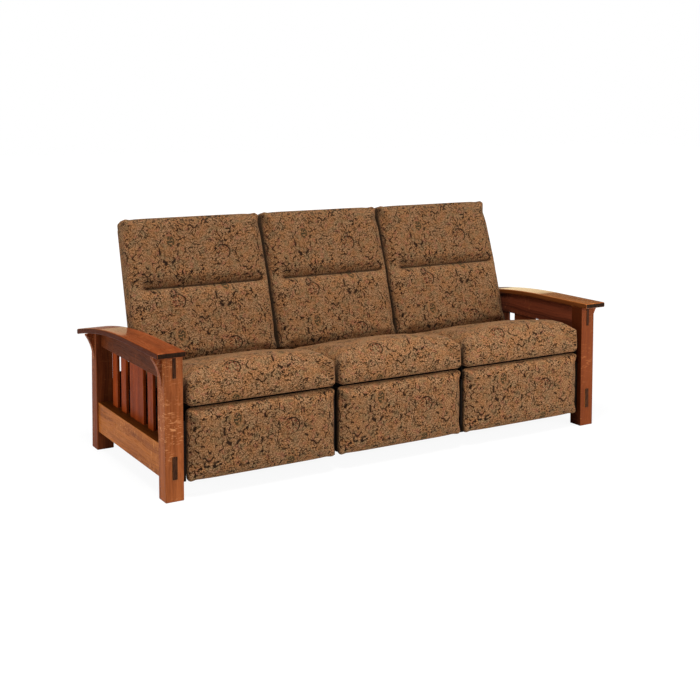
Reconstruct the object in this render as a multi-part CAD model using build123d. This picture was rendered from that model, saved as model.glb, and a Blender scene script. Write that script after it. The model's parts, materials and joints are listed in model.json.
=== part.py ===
from build123d import *
import os
from math import atan2, asin, cos, degrees, hypot, pi, radians, sin

# A three-seat reclining sofa with slatted oak sides.
# Lengths are in millimetres. While a piece is made, x is measured from the middle of the
# sofa or of its seat, y from the front face of the front legs, and z from the floor.

# Overall layout
seat_count = 3
width_over_legs = 2083.0
leg_spacing = 772.0

# Legs
leg_width = 73.0
leg_depth = 68.0
leg_height = 544.0
rear_leg_top_depth = 52.0
edge_ease = 3.0

# Arms
arm_width = 112.0
arm_thickness = 22.0
arm_front_overhang = 30.0
arm_rear_overhang = 65.0
arm_inner_overhang = 1.0
arm_straight_length = 330.0
arm_bow_radius = 2900.0
arm_ease = 5.0

# Side rails and their tenons
lower_rail_inset = 8.0
lower_rail_inner_inset = 7.0
lower_rail_bottom = 77.0
lower_rail_top = 205.0
lower_tenon_thickness = 20.0
lower_tenon_under = 7.0
lower_tenon_over = 35.0
upper_rail_inset = 24.0
upper_rail_inner_inset = 9.0
upper_rail_height = 102.0
upper_tenon_inset = 32.0
upper_tenon_thickness = 13.0
upper_tenon_shoulder = 20.0
tenon_proud = 2.0
rear_tenon_cover = 6.0
joint_fit = 0.2

# Slats
wide_slat_width = 150.0
narrow_slat_width = 58.0
slat_end_gap = 69.0
slat_thickness = 12.0
slat_inner_inset = 13.0
slat_tenon = 12.0
slat_ease = 2.0

# Corbels
corbel_setback = 4.0
corbel_height = 112.0
corbel_nose = 10.0
corbel_thickness = 24.0
corbel_toe = 2.0
corbel_waist_share = 0.32
corbel_waist_drop_share = 0.52

# Stretchers across the sofa, and the boards between the seats
bay_board_thickness = 18.0
bay_board_front = 24.0
bay_board_leg_reach = 40.0
bay_board_bottom = 62.0
bay_board_top = 290.0
stretcher_thickness = 22.0
stretcher_bottom = 72.0
stretcher_top = 110.0
front_stretcher_gap = 37.0
rear_stretcher_gap = 82.0
stretcher_tenon_length = 15.0
stretcher_tenon_margin = 13.0

# Seat frame and webbing
frame_rail_thickness = 25.0
frame_rail_height = 40.0
frame_side_gap = 20.8
frame_front = 85.0
frame_hinge_gap = 15.0
bearer_width = 45.0
bearer_thickness = 13.0
front_bearer_offset = 155.0
rear_bearer_offset = 85.0
bearer_end_gap = 0.5
strap_count = 5
strap_width = 54.0
strap_thickness = 3.0

# Seat cushion
soft_gap = 0.4
seat_side_gap = 4.8
seat_front = -4.0
seat_hinge_gap = 94.0
seat_side_height = 118.0
seat_crown = 26.0
seat_side_bulge = 14.0
seat_end_shrink = 30.0
seat_draw_in = 4.0

# Reclining back
back_lean = 17.5
recline_angle = 30.0
back_hinge_leg_gap = 172.0
back_hinge_rise = 40.0
back_board_rear = 2.0
back_board_thickness = 18.0
back_board_start = 22.0
back_board_cover = 16.0
back_cushion_start = 38.0
back_cushion_length = 612.0
back_seam_place = 353.0
back_side_depth = 66.0
back_crown = 28.0
back_seam_dip = 10.0
back_side_gap = 5.8
back_side_bulge = 12.0
back_end_shrink = 26.0
back_draw_in = 4.0
back_seam_shoulder = 26.0

# Footrest panel
panel_bottom = 61.0
panel_seat_gap = 8.4
panel_front = 0.0
pad_depth = 34.0
pad_crown = 8.0
pad_side_gap = 9.8
pad_side_bulge = 9.0
pad_end_shrink = 18.0
pad_draw_in = 3.0
footrest_board_thickness = 18.0
footrest_board_side_gap = 1.3
footrest_board_margin = 8.0

# Footrest linkage, seen from the side
lift_top_reach = 27.6
lift_top_rise = 2.0
drive_pivot_reach = 42.0
drive_pivot_drop = 2.0
drive_length = 176.0
control_pivot_reach = 30.0
control_pivot_drop = 12.0
control_end_reach = 16.0
control_end_drop = 14.0
plate_thickness = 3.0
layer_gap = 0.5
link_half_width = 11.0
pin_radius = 4.5
pin_fit = 0.05
pin_head_radius = 9.0
pin_head_thickness = 2.0
control_slot_travel = 4.0
control_slot_play = 3.0
tube_radius = 8.0
tube_wall = 2.0
bracket_flange = 36.0
bracket_height = 84.0
bracket_above = 24.0

# Steel side plates
plate_bar_drop = 3.0
plate_bar_height = 39.0
plate_front_reach = 24.0
plate_rear_reach = 40.0
plate_lug_half_width = 14.0
front_lug_length = 74.0
back_bracket_length = 190.0
back_bracket_knee = 36.0
hinge_radius = 6.0
hinge_lug_radius = 14.0

# Bolts and screws
bolt_radius = 4.0
bolt_head_radius = 7.0
bolt_head_length = 8.0
bolt_recess = 9.0
bolt_tip_cover = 2.0
bolt_front_leg_offset = 46.0
bolt_rear_leg_offset = 26.0
low_bolt_rise = 56.0
high_bolt_drop = 54.0
bolt_fit = 0.3
screw_radius = 2.5
screw_head_radius = 5.0
screw_head_length = 2.0
screw_tip_gap = 0.5
front_screw_gap = 60.0
rear_screw_gap = 30.0

# Shares along a cushion at which its sections lie
lobe_shares = (0.0, 0.04, 0.12, 0.3, 0.5, 0.7, 0.88, 0.96, 1.0)

# Sizes that follow from those above
half_width = width_over_legs / 2
leg_inner_x = half_width - leg_width
seat_pitch = (2 * leg_inner_x - bay_board_thickness) / seat_count
clear_half = (seat_pitch - bay_board_thickness) / 2
rear_leg_back = leg_spacing + leg_depth
rear_tenon_end = leg_spacing + rear_leg_top_depth - rear_tenon_cover
arm_outer_overhang = arm_width - leg_width - arm_inner_overhang
arm_front = -arm_front_overhang
arm_rear = rear_leg_back + arm_rear_overhang
arm_middle_y = (arm_front + arm_rear) / 2
bow_start = arm_front + arm_straight_length
corbel_reach = arm_outer_overhang - corbel_setback

lower_rail_thickness = leg_width - lower_rail_inset - lower_rail_inner_inset
lower_tenon_inset = lower_rail_inset + (lower_rail_thickness - lower_tenon_thickness) / 2
lower_tenon_bottom = lower_rail_bottom + lower_tenon_under
lower_tenon_top = lower_rail_top - lower_tenon_over
upper_rail_thickness = leg_width - upper_rail_inset - upper_rail_inner_inset
upper_rail_bottom = leg_height - upper_rail_height
upper_tenon_bottom = upper_rail_bottom + upper_tenon_shoulder
slat_inset = leg_width - slat_inner_inset - slat_thickness
bolt_leg_depth = leg_width - lower_tenon_inset - lower_tenon_thickness - bolt_tip_cover
low_bolt_height = bay_board_bottom + low_bolt_rise
high_bolt_height = bay_board_top - high_bolt_drop

back_hinge_y = leg_spacing - back_hinge_leg_gap
back_hinge_z = bay_board_top + back_hinge_rise
frame_half_width = clear_half - frame_side_gap
frame_rear = back_hinge_y - frame_hinge_gap
frame_bottom = bay_board_top + bearer_thickness
frame_top = frame_bottom + frame_rail_height
front_bearer_place = frame_front + front_bearer_offset
rear_bearer_place = frame_rear - rear_bearer_offset
cushion_bottom = frame_top + strap_thickness + soft_gap
seat_half_width = seat_pitch / 2 - seat_side_gap
seat_rear = back_hinge_y - seat_hinge_gap
back_half_width = seat_pitch / 2 - back_side_gap
back_cushion_rear = back_board_rear + back_board_thickness + soft_gap
back_cushion_end = back_cushion_start + back_cushion_length
back_board_end = back_cushion_end - back_board_cover

panel_top = cushion_bottom - panel_seat_gap
pad_half_width = seat_pitch / 2 - pad_side_gap
pad_rear = panel_front + pad_depth
board_front = pad_rear + soft_gap
board_rear = board_front + footrest_board_thickness

plate_x = clear_half - plate_thickness
outer_layer = plate_x - layer_gap - plate_thickness
middle_layer = outer_layer - layer_gap - plate_thickness
inner_layer = middle_layer - layer_gap - plate_thickness
footrest_board_half_width = inner_layer - footrest_board_side_gap

lift_top_y = board_rear + lift_top_reach
lift_top_z = bay_board_top + lift_top_rise
drive_pivot_y = lift_top_y + drive_pivot_reach
drive_pivot_z = bay_board_top - drive_pivot_drop
control_pivot_y = drive_pivot_y + control_pivot_reach
control_pivot_z = drive_pivot_z - control_pivot_drop
control_end_y = drive_pivot_y + control_end_reach
control_end_z = drive_pivot_z - drive_length - control_end_drop
drive_pivot = (drive_pivot_y, drive_pivot_z)
drive_end = (drive_pivot_y, drive_pivot_z - drive_length)
lift_top = (lift_top_y, lift_top_z)
control_pivot = (control_pivot_y, control_pivot_z)
control_end = (control_end_y, control_end_z)
back_hinge = (back_hinge_y, back_hinge_z)

plate_bar_top = bay_board_top - plate_bar_drop
plate_bar_bottom = plate_bar_top - plate_bar_height
plate_front = drive_pivot_y - plate_front_reach
plate_rear = back_hinge_y + plate_rear_reach
screw_length = plate_thickness + bay_board_thickness / 2 - screw_tip_gap
front_screw_place = front_bearer_place + front_screw_gap
rear_screw_place = rear_bearer_place - rear_screw_gap
bay_board_rear = leg_spacing + bay_board_leg_reach
front_stretcher_front = control_end_y + front_stretcher_gap
rear_stretcher_front = leg_spacing - rear_stretcher_gap
seat_names = ("left", "middle", "right")


def block(x0, x1, y0, y1, z0, z1):
    """A plain block between two corners."""
    centre = Pos((x0 + x1) / 2, (y0 + y1) / 2, (z0 + z1) / 2)
    return centre * Box(x1 - x0, y1 - y0, z1 - z0)


def eased(solid, radius, thickness):
    """Round every edge, by less than half of the thinnest wall."""
    return fillet(solid.edges(), min(radius, thickness / 3))


def side_solid(face, x0, x1):
    """Push an outline drawn in the side view out across the sofa."""
    return extrude(Plane.YZ.offset(x0) * face, amount=x1 - x0)


def mirrored(solids):
    """The same solids on the other side of the middle plane."""
    return [mirror(solid, Plane.YZ) for solid in solids]


def arm_outline(radius_change, lift):
    """The arm's straight and bowed line in the side view, moved down from its top face."""
    radius = arm_bow_radius - radius_change
    centre_z = leg_height + arm_thickness - arm_bow_radius
    angle = asin((arm_rear - bow_start) / radius)
    start = (arm_front, centre_z + radius + lift)
    bend = (bow_start, centre_z + radius + lift)
    middle = (bow_start + radius * sin(angle / 2), centre_z + radius * cos(angle / 2) + lift)
    end = (bow_start + radius * sin(angle), centre_z + radius * cos(angle) + lift)
    return start, bend, middle, end


def arm_band(depth, lift):
    """The band between the arm's line and the same line further down."""
    start, bend, middle, end = arm_outline(0, lift)
    low_start, low_bend, low_middle, low_end = arm_outline(depth, lift)
    lines = [
        Line(start, bend),
        ThreePointArc(bend, middle, end),
        Line(end, low_end),
        ThreePointArc(low_end, low_middle, low_bend),
        Line(low_bend, low_start),
        Line(low_start, start),
    ]
    return make_face(Curve() + lines)


def left_x(inset):
    """The place of a face that lies this far in from the outer face of the left legs."""
    return inset - half_width


def arm_top():
    """The flat, bowed arm of the left side."""
    x0 = left_x(-arm_outer_overhang)
    arm = side_solid(arm_band(arm_thickness, 0), x0, x0 + arm_width)
    return [eased(arm, arm_ease, arm_thickness)]


def space_above_arm():
    """All that lies above the arm's underside, to trim what meets it."""
    band = arm_band(corbel_height, corbel_height - arm_thickness)
    x0 = left_x(-arm_outer_overhang)
    return side_solid(band, x0, x0 + arm_width)


def lower_tenon(grow):
    """The lower rail's tenons, or their mortises when grown by the fit."""
    x0 = left_x(lower_tenon_inset)
    x1 = x0 + lower_tenon_thickness
    return block(x0 - grow, x1 + grow, -tenon_proud - grow, rear_tenon_end + grow,
                 lower_tenon_bottom - grow, lower_tenon_top + grow)


def upper_tenon(grow):
    """The upper rail's tenons, or their mortises when grown by the fit."""
    x0 = left_x(upper_tenon_inset)
    x1 = x0 + upper_tenon_thickness
    return block(x0 - grow, x1 + grow, -tenon_proud - grow, rear_tenon_end + grow,
                 upper_tenon_bottom - grow, leg_height)


def leg_bolt_holes():
    """The blind holes in the left legs for the bolts of the outer bay board."""
    shape = Circle(bolt_radius + bolt_fit)
    holes = []
    for y, z in leg_bolt_places():
        x0 = left_x(leg_width) - bolt_leg_depth
        holes.append(extrude(Plane.YZ.offset(x0) * Pos(y, z) * shape, amount=bolt_leg_depth))
    return holes


def leg_bolt_places():
    """Where the bolts run into the legs, in the side view."""
    middle = (bolt_front_leg_offset, leg_spacing + bolt_rear_leg_offset)
    return [(y, z) for y in middle for z in (low_bolt_height, high_bolt_height)]


def front_leg():
    leg = block(left_x(0), left_x(leg_width), 0, leg_depth, 0, leg_height)
    leg = eased(leg, edge_ease, leg_depth)
    return [leg - lower_tenon(joint_fit) - upper_tenon(joint_fit) - leg_bolt_holes()]


def rear_leg():
    """The rear leg, whose back face slopes forward towards the arm."""
    outline = Polyline(
        (leg_spacing, 0),
        (rear_leg_back, 0),
        (leg_spacing + rear_leg_top_depth, leg_height),
        (leg_spacing, leg_height),
        close=True,
    )
    leg = side_solid(make_face(outline), left_x(0), left_x(leg_width))
    leg = eased(leg, edge_ease, leg_depth) - space_above_arm()
    return [leg - lower_tenon(joint_fit) - upper_tenon(joint_fit) - leg_bolt_holes()]


def slat_spans():
    """Front and rear edge of each slat: two narrow, one wide, two narrow."""
    widths = (narrow_slat_width, narrow_slat_width, wide_slat_width,
              narrow_slat_width, narrow_slat_width)
    first = leg_depth + slat_end_gap
    clear = leg_spacing - slat_end_gap - first - sum(widths)
    slat_gap = clear / (len(widths) - 1)
    y = first
    spans = []
    for width in widths:
        spans.append((y, y + width))
        y += width + slat_gap
    return spans


def slats(grow):
    """The slats with the ends that stand in the rails, or their mortises."""
    x0 = left_x(slat_inset)
    x1 = x0 + slat_thickness
    z0 = lower_rail_top - slat_tenon
    z1 = upper_rail_bottom + slat_tenon
    return [block(x0 - grow, x1 + grow, y0 - grow, y1 + grow, z0 - grow, z1 + grow)
            for y0, y1 in slat_spans()]


def side_slats():
    return [eased(slat, slat_ease, slat_thickness) for slat in slats(0)]


def stretcher_fronts():
    return front_stretcher_front, rear_stretcher_front


def stretcher_tenon(front, grow):
    """The left end tenon of a stretcher, or its mortise in the lower rail."""
    inner = left_x(lower_rail_inset + lower_rail_thickness)
    return block(inner - stretcher_tenon_length - grow, inner,
                 front - grow, front + stretcher_thickness + grow,
                 stretcher_bottom + stretcher_tenon_margin - grow, stretcher_top + grow)


def lower_side_rail():
    x0 = left_x(lower_rail_inset)
    rail = block(x0, x0 + lower_rail_thickness, leg_depth, leg_spacing,
                 lower_rail_bottom, lower_rail_top)
    long_edges = rail.edges().filter_by(Axis.Y)
    rail = fillet(long_edges, edge_ease) + lower_tenon(0)
    mortises = [stretcher_tenon(front, joint_fit) for front in stretcher_fronts()]
    return [rail - slats(joint_fit) - mortises]


def upper_side_rail():
    """The board under the arm, trimmed to the arm's bow."""
    x0 = left_x(upper_rail_inset)
    rail = block(x0, x0 + upper_rail_thickness, leg_depth, leg_spacing,
                 upper_rail_bottom, leg_height)
    low_edges = rail.edges().filter_by(Axis.Y).group_by(Axis.Z)[0]
    rail = fillet(low_edges, edge_ease) + upper_tenon(0)
    return [rail - slats(joint_fit) - space_above_arm()]


def corbel(middle_y):
    """A small curved bracket between a leg's outer face and the arm."""
    face_x = left_x(0)
    top = leg_height
    waist_x = face_x - corbel_reach * corbel_waist_share
    waist_z = top - corbel_height * corbel_waist_drop_share
    lines = [
        Line((face_x, top), (face_x - corbel_reach, top)),
        Line((face_x - corbel_reach, top), (face_x - corbel_reach, top - corbel_nose)),
        ThreePointArc((face_x - corbel_reach, top - corbel_nose),
                      (waist_x, waist_z),
                      (face_x - corbel_toe, top - corbel_height)),
        Line((face_x - corbel_toe, top - corbel_height), (face_x, top - corbel_height)),
        Line((face_x, top - corbel_height), (face_x, top)),
    ]
    plane = Plane.XZ.offset(-middle_y - corbel_thickness / 2)
    return extrude(plane * make_face(Curve() + lines), amount=corbel_thickness)


def corbels():
    """One corbel on each left leg, the rear one lowered with the bowed arm."""
    front_y = leg_depth / 2
    rear_y = leg_spacing + rear_leg_top_depth / 2
    drop = arm_bow_radius - arm_bow_radius * cos(asin((rear_y - bow_start) / arm_bow_radius))
    rear = Pos(0, 0, -drop) * corbel(rear_y)
    lift = Pos(0, 0, corbel_thickness / 2)
    blank = rear + lift * block(left_x(-corbel_reach), left_x(0),
                                rear_y - corbel_thickness / 2, rear_y + corbel_thickness / 2,
                                leg_height - drop - corbel_nose, leg_height - drop)
    return [corbel(front_y), blank - space_above_arm()]


def stretcher(front):
    """A board across the sofa that carries the boards between the seats."""
    inner = half_width - lower_rail_inset - lower_rail_thickness
    board = block(-inner, inner, front, front + stretcher_thickness,
                  stretcher_bottom, stretcher_top)
    tenon = stretcher_tenon(front, 0)
    return [board + tenon + mirror(tenon, Plane.YZ)]


def board_places():
    """The middle of each board between and beside the seats."""
    return [(i - seat_count / 2) * seat_pitch for i in range(seat_count + 1)]


def seat_places():
    return [(i - (seat_count - 1) / 2) * seat_pitch for i in range(seat_count)]


def bay_boards():
    """The upright boards, notched over both stretchers."""
    boards = []
    half = bay_board_thickness / 2
    for x in board_places():
        board = block(x - half, x + half, bay_board_front, bay_board_rear,
                      bay_board_bottom, bay_board_top)
        for front in stretcher_fronts():
            board -= block(x - half, x + half, front - joint_fit,
                           front + stretcher_thickness + joint_fit,
                           bay_board_bottom, stretcher_top + joint_fit)
        boards.append(board)
    holes = [hole for places in (left_bolts(bolt_fit), mirrored(left_bolts(bolt_fit)))
             for hole in places]
    return [board - holes - plate_screws(0) for board in boards]


def left_bolts(grow):
    """The bolts from the left outer bay board into the left legs, or their holes."""
    bolts = []
    seat_face = -leg_inner_x + bay_board_thickness - bolt_recess
    tip = -leg_inner_x - bolt_leg_depth
    head_end = seat_face + (bolt_recess if grow else bolt_head_length)
    for y, z in leg_bolt_places():
        shank = Plane.YZ.offset(tip) * Pos(y, z) * Circle(bolt_radius + grow)
        head = Plane.YZ.offset(seat_face) * Pos(y, z) * Circle(bolt_head_radius + grow)
        bolts.append(extrude(shank, amount=seat_face - tip)
                     + extrude(head, amount=head_end - seat_face))
    return bolts


def plate_screws(grow):
    """Screws that hold the steel side plates of every seat to the bay boards."""
    middle_z = (plate_bar_bottom + plate_bar_top) / 2
    screws = []
    for x in seat_places():
        for y in (front_screw_place, rear_screw_place):
            screws += [Pos(x, 0, 0) * screw for screw in screw_pair(y, middle_z, grow)]
    return screws


def screw_pair(y, z, grow):
    shank = Plane.YZ.offset(plate_x) * Pos(y, z) * Circle(screw_radius + grow)
    head = Plane.YZ.offset(plate_x - screw_head_length) * Pos(y, z) * Circle(screw_head_radius)
    screw = extrude(shank, amount=screw_length) + extrude(head, amount=screw_head_length)
    return [screw] + mirrored([screw])


def frame_bolts():
    bolts = left_bolts(0)
    return bolts + mirrored(bolts) + plate_screws(0)


def bar(start, end, width):
    """A flat bar with round ends between two points of the side view."""
    across = end[0] - start[0]
    up = end[1] - start[1]
    place = Pos((start[0] + end[0]) / 2, (start[1] + end[1]) / 2)
    turn = Rot(0, 0, degrees(atan2(up, across)))
    return place * turn * SlotCenterToCenter(hypot(across, up), width)


def disc(point, radius):
    return Pos(point[0], point[1]) * Circle(radius)


def pin(point, x0, x1, radius):
    """A round pin across the sofa."""
    return side_solid(disc(point, radius), x0, x1)


def both_sides(solids):
    return solids + mirrored(solids)


def side_plates():
    """Steel plates on the bay boards with the fixed pivots."""
    front_top = drive_pivot_z + plate_lug_half_width
    bar_face = Pos((plate_front + plate_rear) / 2, (plate_bar_bottom + plate_bar_top) / 2) \
        * Rectangle(plate_rear - plate_front, plate_bar_top - plate_bar_bottom)
    front_lug = Pos(plate_front + front_lug_length / 2, (plate_bar_bottom + front_top) / 2) \
        * Rectangle(front_lug_length, front_top - plate_bar_bottom)
    rear_lug = bar((back_hinge_y, plate_bar_top - plate_lug_half_width), back_hinge,
                   2 * hinge_lug_radius)
    face = bar_face + front_lug + rear_lug
    holes = disc(drive_pivot, pin_radius + pin_fit) + disc(control_pivot, pin_radius + pin_fit)
    holes += disc(back_hinge, hinge_radius + pin_fit)
    middle_z = (plate_bar_bottom + plate_bar_top) / 2
    for y in (front_screw_place, rear_screw_place):
        holes += disc((y, middle_z), screw_radius + pin_fit)
    return both_sides([side_solid(face - holes, plate_x, clear_half)])


def fixed_pins():
    """The three fixed pivots of one seat: drive, control and back hinge."""
    drive = pin(drive_pivot, inner_layer, clear_half, pin_radius)
    control_head = outer_layer - layer_gap - pin_head_thickness
    control = pin(control_pivot, control_head, clear_half, pin_radius)
    control += pin(control_pivot, control_head, control_head + pin_head_thickness,
                   pin_head_radius)
    hinge_head = outer_layer - layer_gap - pin_head_thickness
    hinge = pin(back_hinge, hinge_head, clear_half, hinge_radius)
    hinge += pin(back_hinge, hinge_head, hinge_head + pin_head_thickness, pin_head_radius)
    return both_sides([drive, control, hinge])


def drive_links():
    """The links that swing the footrest forward, with the rivets to the lift links."""
    face = bar(drive_pivot, drive_end, 2 * link_half_width)
    face -= disc(drive_pivot, pin_radius + pin_fit)
    plate = side_solid(face, inner_layer, inner_layer + plate_thickness)
    rivet = pin(drive_end, inner_layer, middle_layer + plate_thickness, pin_radius)
    return both_sides([plate + rivet])


def torque_tube():
    """The tube that makes both drive links turn together."""
    tube = pin(drive_pivot, -inner_layer, inner_layer, tube_radius)
    return [tube - pin(drive_pivot, -inner_layer, inner_layer, tube_radius - tube_wall)]


def lift_links():
    """The links from the drive links up to the footrest, with the control pins."""
    face = bar(lift_top, drive_end, 2 * link_half_width)
    face += bar(drive_end, control_end, 2 * link_half_width)
    face -= disc(lift_top, pin_radius + pin_fit)
    face -= disc(drive_end, pin_radius + pin_fit)
    plate = side_solid(face, middle_layer, middle_layer + plate_thickness)
    end = outer_layer + plate_thickness
    return both_sides([plate + pin(control_end, middle_layer, end, pin_radius)])


def control_links():
    """The links that turn the lift links, slotted at their lower pins."""
    across = control_end_y - control_pivot_y
    up = control_end_z - control_pivot_z
    length = hypot(across, up)
    step = (across / length * control_slot_travel, up / length * control_slot_travel)
    slot_top = (control_end_y - step[0], control_end_z - step[1])
    slot_end = (control_end_y + step[0], control_end_z + step[1])
    face = bar(control_pivot, slot_end, 2 * link_half_width)
    face -= disc(control_pivot, pin_radius + pin_fit)
    face -= bar(slot_top, slot_end, 2 * (pin_radius + control_slot_play))
    return both_sides([side_solid(face, outer_layer, outer_layer + plate_thickness)])


def footrest_brackets():
    """Steel angles on the footrest board with the pins of the lift links."""
    top = lift_top_z + bracket_above
    flange = block(inner_layer + plate_thickness - bracket_flange, inner_layer + plate_thickness,
                   board_rear, board_rear + plate_thickness, top - bracket_height, top)
    web = Pos((board_rear + lift_top_y) / 2, lift_top_z) \
        * Rectangle(lift_top_y - board_rear, 2 * link_half_width)
    web += disc(lift_top, link_half_width)
    web += Pos(board_rear + plate_thickness / 2, top - bracket_height / 2) \
        * Rectangle(plate_thickness, bracket_height)
    plate = side_solid(web, inner_layer, inner_layer + plate_thickness)
    rivet = pin(lift_top, inner_layer, middle_layer + plate_thickness, pin_radius)
    return both_sides([flange + plate + rivet])


def lean_point(forward, up):
    """A point of the side view, counted forward of and up the leaning back from its hinge."""
    lean = radians(back_lean)
    return (back_hinge_y + up * sin(lean) - forward * cos(lean),
            back_hinge_z + up * cos(lean) + forward * sin(lean))


def back_brackets():
    """Steel side brackets that carry the back board on its hinge."""
    middle = back_board_rear + back_board_thickness / 2
    knee = lean_point(middle, back_bracket_knee)
    end = lean_point(middle, back_bracket_length)
    face = bar(back_hinge, knee, back_board_thickness) + bar(knee, end, back_board_thickness)
    face += disc(back_hinge, hinge_lug_radius - edge_ease)
    face -= disc(back_hinge, hinge_radius + pin_fit)
    return both_sides([side_solid(face, outer_layer, outer_layer + plate_thickness)])


def back_board():
    """The board inside the back, held between the two back brackets."""
    low = back_board_start
    high = back_board_end
    front = back_board_rear + back_board_thickness
    outline = Polyline(lean_point(back_board_rear, low), lean_point(front, low),
                       lean_point(front, high), lean_point(back_board_rear, high), close=True)
    return [side_solid(make_face(outline), -outer_layer, outer_layer)]


def section(plane, width, bulge, base, side, crown):
    """A cushion's cut: flat base, bulging sides and a crowned front."""
    edge = width - bulge
    lines = [
        Line((-edge, base), (edge, base)),
        ThreePointArc((edge, base), (width, (base + side) / 2), (edge, side)),
        ThreePointArc((edge, side), (0, side + crown), (-edge, side)),
        ThreePointArc((-edge, side), (-width, (base + side) / 2), (-edge, base)),
    ]
    return plane * make_face(Curve() + lines)


def fullness(share):
    """How full a cushion is along its length: 0 at its ends and 1 inside."""
    return max(0, 1 - abs(2 * share - 1) ** 6) ** 0.5


def cushion_plane(origin, up_y, up_z):
    """A cut across a cushion that grows in the direction up."""
    return Plane(origin=origin, x_dir=(1, 0, 0), z_dir=(0, -up_y, -up_z))


def seat_cushion():
    """The crowned seat cushion, cut from front to rear."""
    cuts = []
    length = seat_rear - seat_front
    for share in lobe_shares:
        full = fullness(share)
        plane = cushion_plane((0, seat_front + share * length, 0), 1, 0)
        shrink = seat_end_shrink * (1 - full)
        width = seat_half_width - shrink / 2 - seat_draw_in * sin(pi * share)
        side = cushion_bottom + seat_side_height - shrink
        crown = seat_crown * (1 - abs(2 * share - 1) ** 3) + seat_draw_in
        cuts.append(section(plane, width, seat_side_bulge, cushion_bottom + shrink / 3,
                            side, crown))
    return [loft(cuts, ruled=True)]


def back_cushion():
    """The back cushion: a lumbar pillow and a head pillow with a sewn channel between."""
    lean = radians(back_lean)
    cuts = []
    lobes = ((back_cushion_start, back_seam_place), (back_seam_place, back_cushion_end))
    for low, high in lobes:
        for share in lobe_shares:
            if cuts and share == 0:
                continue
            place = (1 - share) * low + share * high
            cuts.append(back_cut(place, share, lean))
    return [loft(cuts, ruled=True)]


def back_cut(place, share, lean):
    """One cut of the back cushion at its place up the back."""
    whole = (place - back_cushion_start) / back_cushion_length
    full = fullness(whole)
    lobe_full = fullness(share)
    y, z = lean_point(0, place)
    plane = cushion_plane((0, y, z), sin(lean), cos(lean))
    shrink = back_end_shrink * (1 - full)
    width = back_half_width - shrink / 2 - back_draw_in * sin(pi * whole)
    side = back_cushion_rear + back_side_depth - shrink
    crown = -back_seam_dip if place == back_seam_place else back_crown * lobe_full + back_draw_in
    return section(plane, width, back_side_bulge, back_cushion_rear, side, crown)


def footrest_pad():
    """The padded front of the footrest, cut from the bottom up."""
    cuts = []
    height = panel_top - panel_bottom
    for share in lobe_shares:
        full = fullness(share)
        plane = cushion_plane((0, pad_rear, panel_bottom + share * height), 0, 1)
        shrink = pad_end_shrink * (1 - full)
        width = pad_half_width - shrink / 3 - pad_draw_in * sin(pi * share)
        side = pad_depth - shrink
        cuts.append(section(plane, width, pad_side_bulge, 0, side, pad_crown * full + pad_draw_in))
    return [loft(cuts, ruled=True)]


def footrest_board():
    half = footrest_board_half_width
    return [block(-half, half, board_front, board_rear,
                  panel_bottom + footrest_board_margin, panel_top - footrest_board_margin)]


def seat_frame():
    """Four rails on two bearers that lie across the bay boards."""
    inner = frame_half_width - frame_rail_thickness
    bearer_half = seat_pitch / 2 - bearer_end_gap
    rails = [
        block(-inner, inner, frame_front, frame_front + frame_rail_thickness,
              frame_bottom, frame_top),
        block(-inner, inner, frame_rear - frame_rail_thickness, frame_rear,
              frame_bottom, frame_top),
    ]
    rails += both_sides([block(inner, frame_half_width, frame_front, frame_rear,
                               frame_bottom, frame_top)])
    for place in (front_bearer_place, rear_bearer_place):
        rails.append(block(-bearer_half, bearer_half, place, place + bearer_width,
                           bay_board_top, frame_bottom))
    return rails


def seat_webbing():
    """Rubber straps from the front rail to the rear rail of each seat frame."""
    clear = 2 * (frame_half_width - frame_rail_thickness)
    step = clear / strap_count
    straps = []
    for seat_x in seat_places():
        for i in range(strap_count):
            x = seat_x - clear / 2 + (i + 0.5) * step
            straps.append(block(x - strap_width / 2, x + strap_width / 2, frame_front,
                                frame_rear, frame_top, frame_top + strap_thickness))
    return straps


def save(name, solids):
    """Write one node, with the middle of the arms' length at y = 0."""
    moved = [Pos(0, -arm_middle_y, 0) * solid for solid in solids]
    export_step(Compound(children=moved), f"parts/{name}.step")


def save_seat(seat_name, x, node, solids):
    save(f"{seat_name}_{node}", [Pos(x, 0, 0) * solid for solid in solids])


def main():
    os.makedirs("parts", exist_ok=True)
    sides = {
        "arm_top": arm_top(),
        "front_leg": front_leg(),
        "rear_leg": rear_leg(),
        "lower_side_rail": lower_side_rail(),
        "upper_side_rail": upper_side_rail(),
        "side_slats": side_slats(),
        "corbels": corbels(),
    }
    for node, solids in sides.items():
        save(f"left_{node}", solids)
        save(f"right_{node}", mirrored(solids))
    save("front_rail", stretcher(front_stretcher_front))
    save("rear_rail", stretcher(rear_stretcher_front))
    save("bay_boards", bay_boards())
    save("frame_bolts", frame_bolts())
    save("seat_webbing", seat_webbing())
    pins = [Pos(x, 0, 0) * solid for x in seat_places() for solid in fixed_pins()]
    save("pivot_pins", pins)
    seat_nodes = {
        "seat_cushion": seat_cushion(),
        "seat_frame": seat_frame(),
        "back_board": back_board(),
        "back_cushion": back_cushion(),
        "back_brackets": back_brackets(),
        "footrest_board": footrest_board(),
        "footrest_pad": footrest_pad(),
        "footrest_brackets": footrest_brackets(),
        "side_plates": side_plates(),
        "drive_links": drive_links(),
        "torque_tube": torque_tube(),
        "lift_links": lift_links(),
        "control_links": control_links(),
    }
    for seat_name, x in zip(seat_names, seat_places()):
        for node, solids in seat_nodes.items():
            save_seat(seat_name, x, node, solids)


main()
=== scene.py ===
# %% [markdown]
# # A reclining sofa with slatted oak sides
# Three padded seats stand between two sides of stained quartersawn oak. Each seat has a
# back that tilts and a footrest that swings out. The CAD model gives every place and
# size. This script adds what a shop floor adds to the drawing: the stain and grain of the
# oak, foam under woven tapestry, thread, and painted steel.

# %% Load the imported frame
import json
import math

import bpy
import numpy as np
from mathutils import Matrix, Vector, noise

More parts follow.
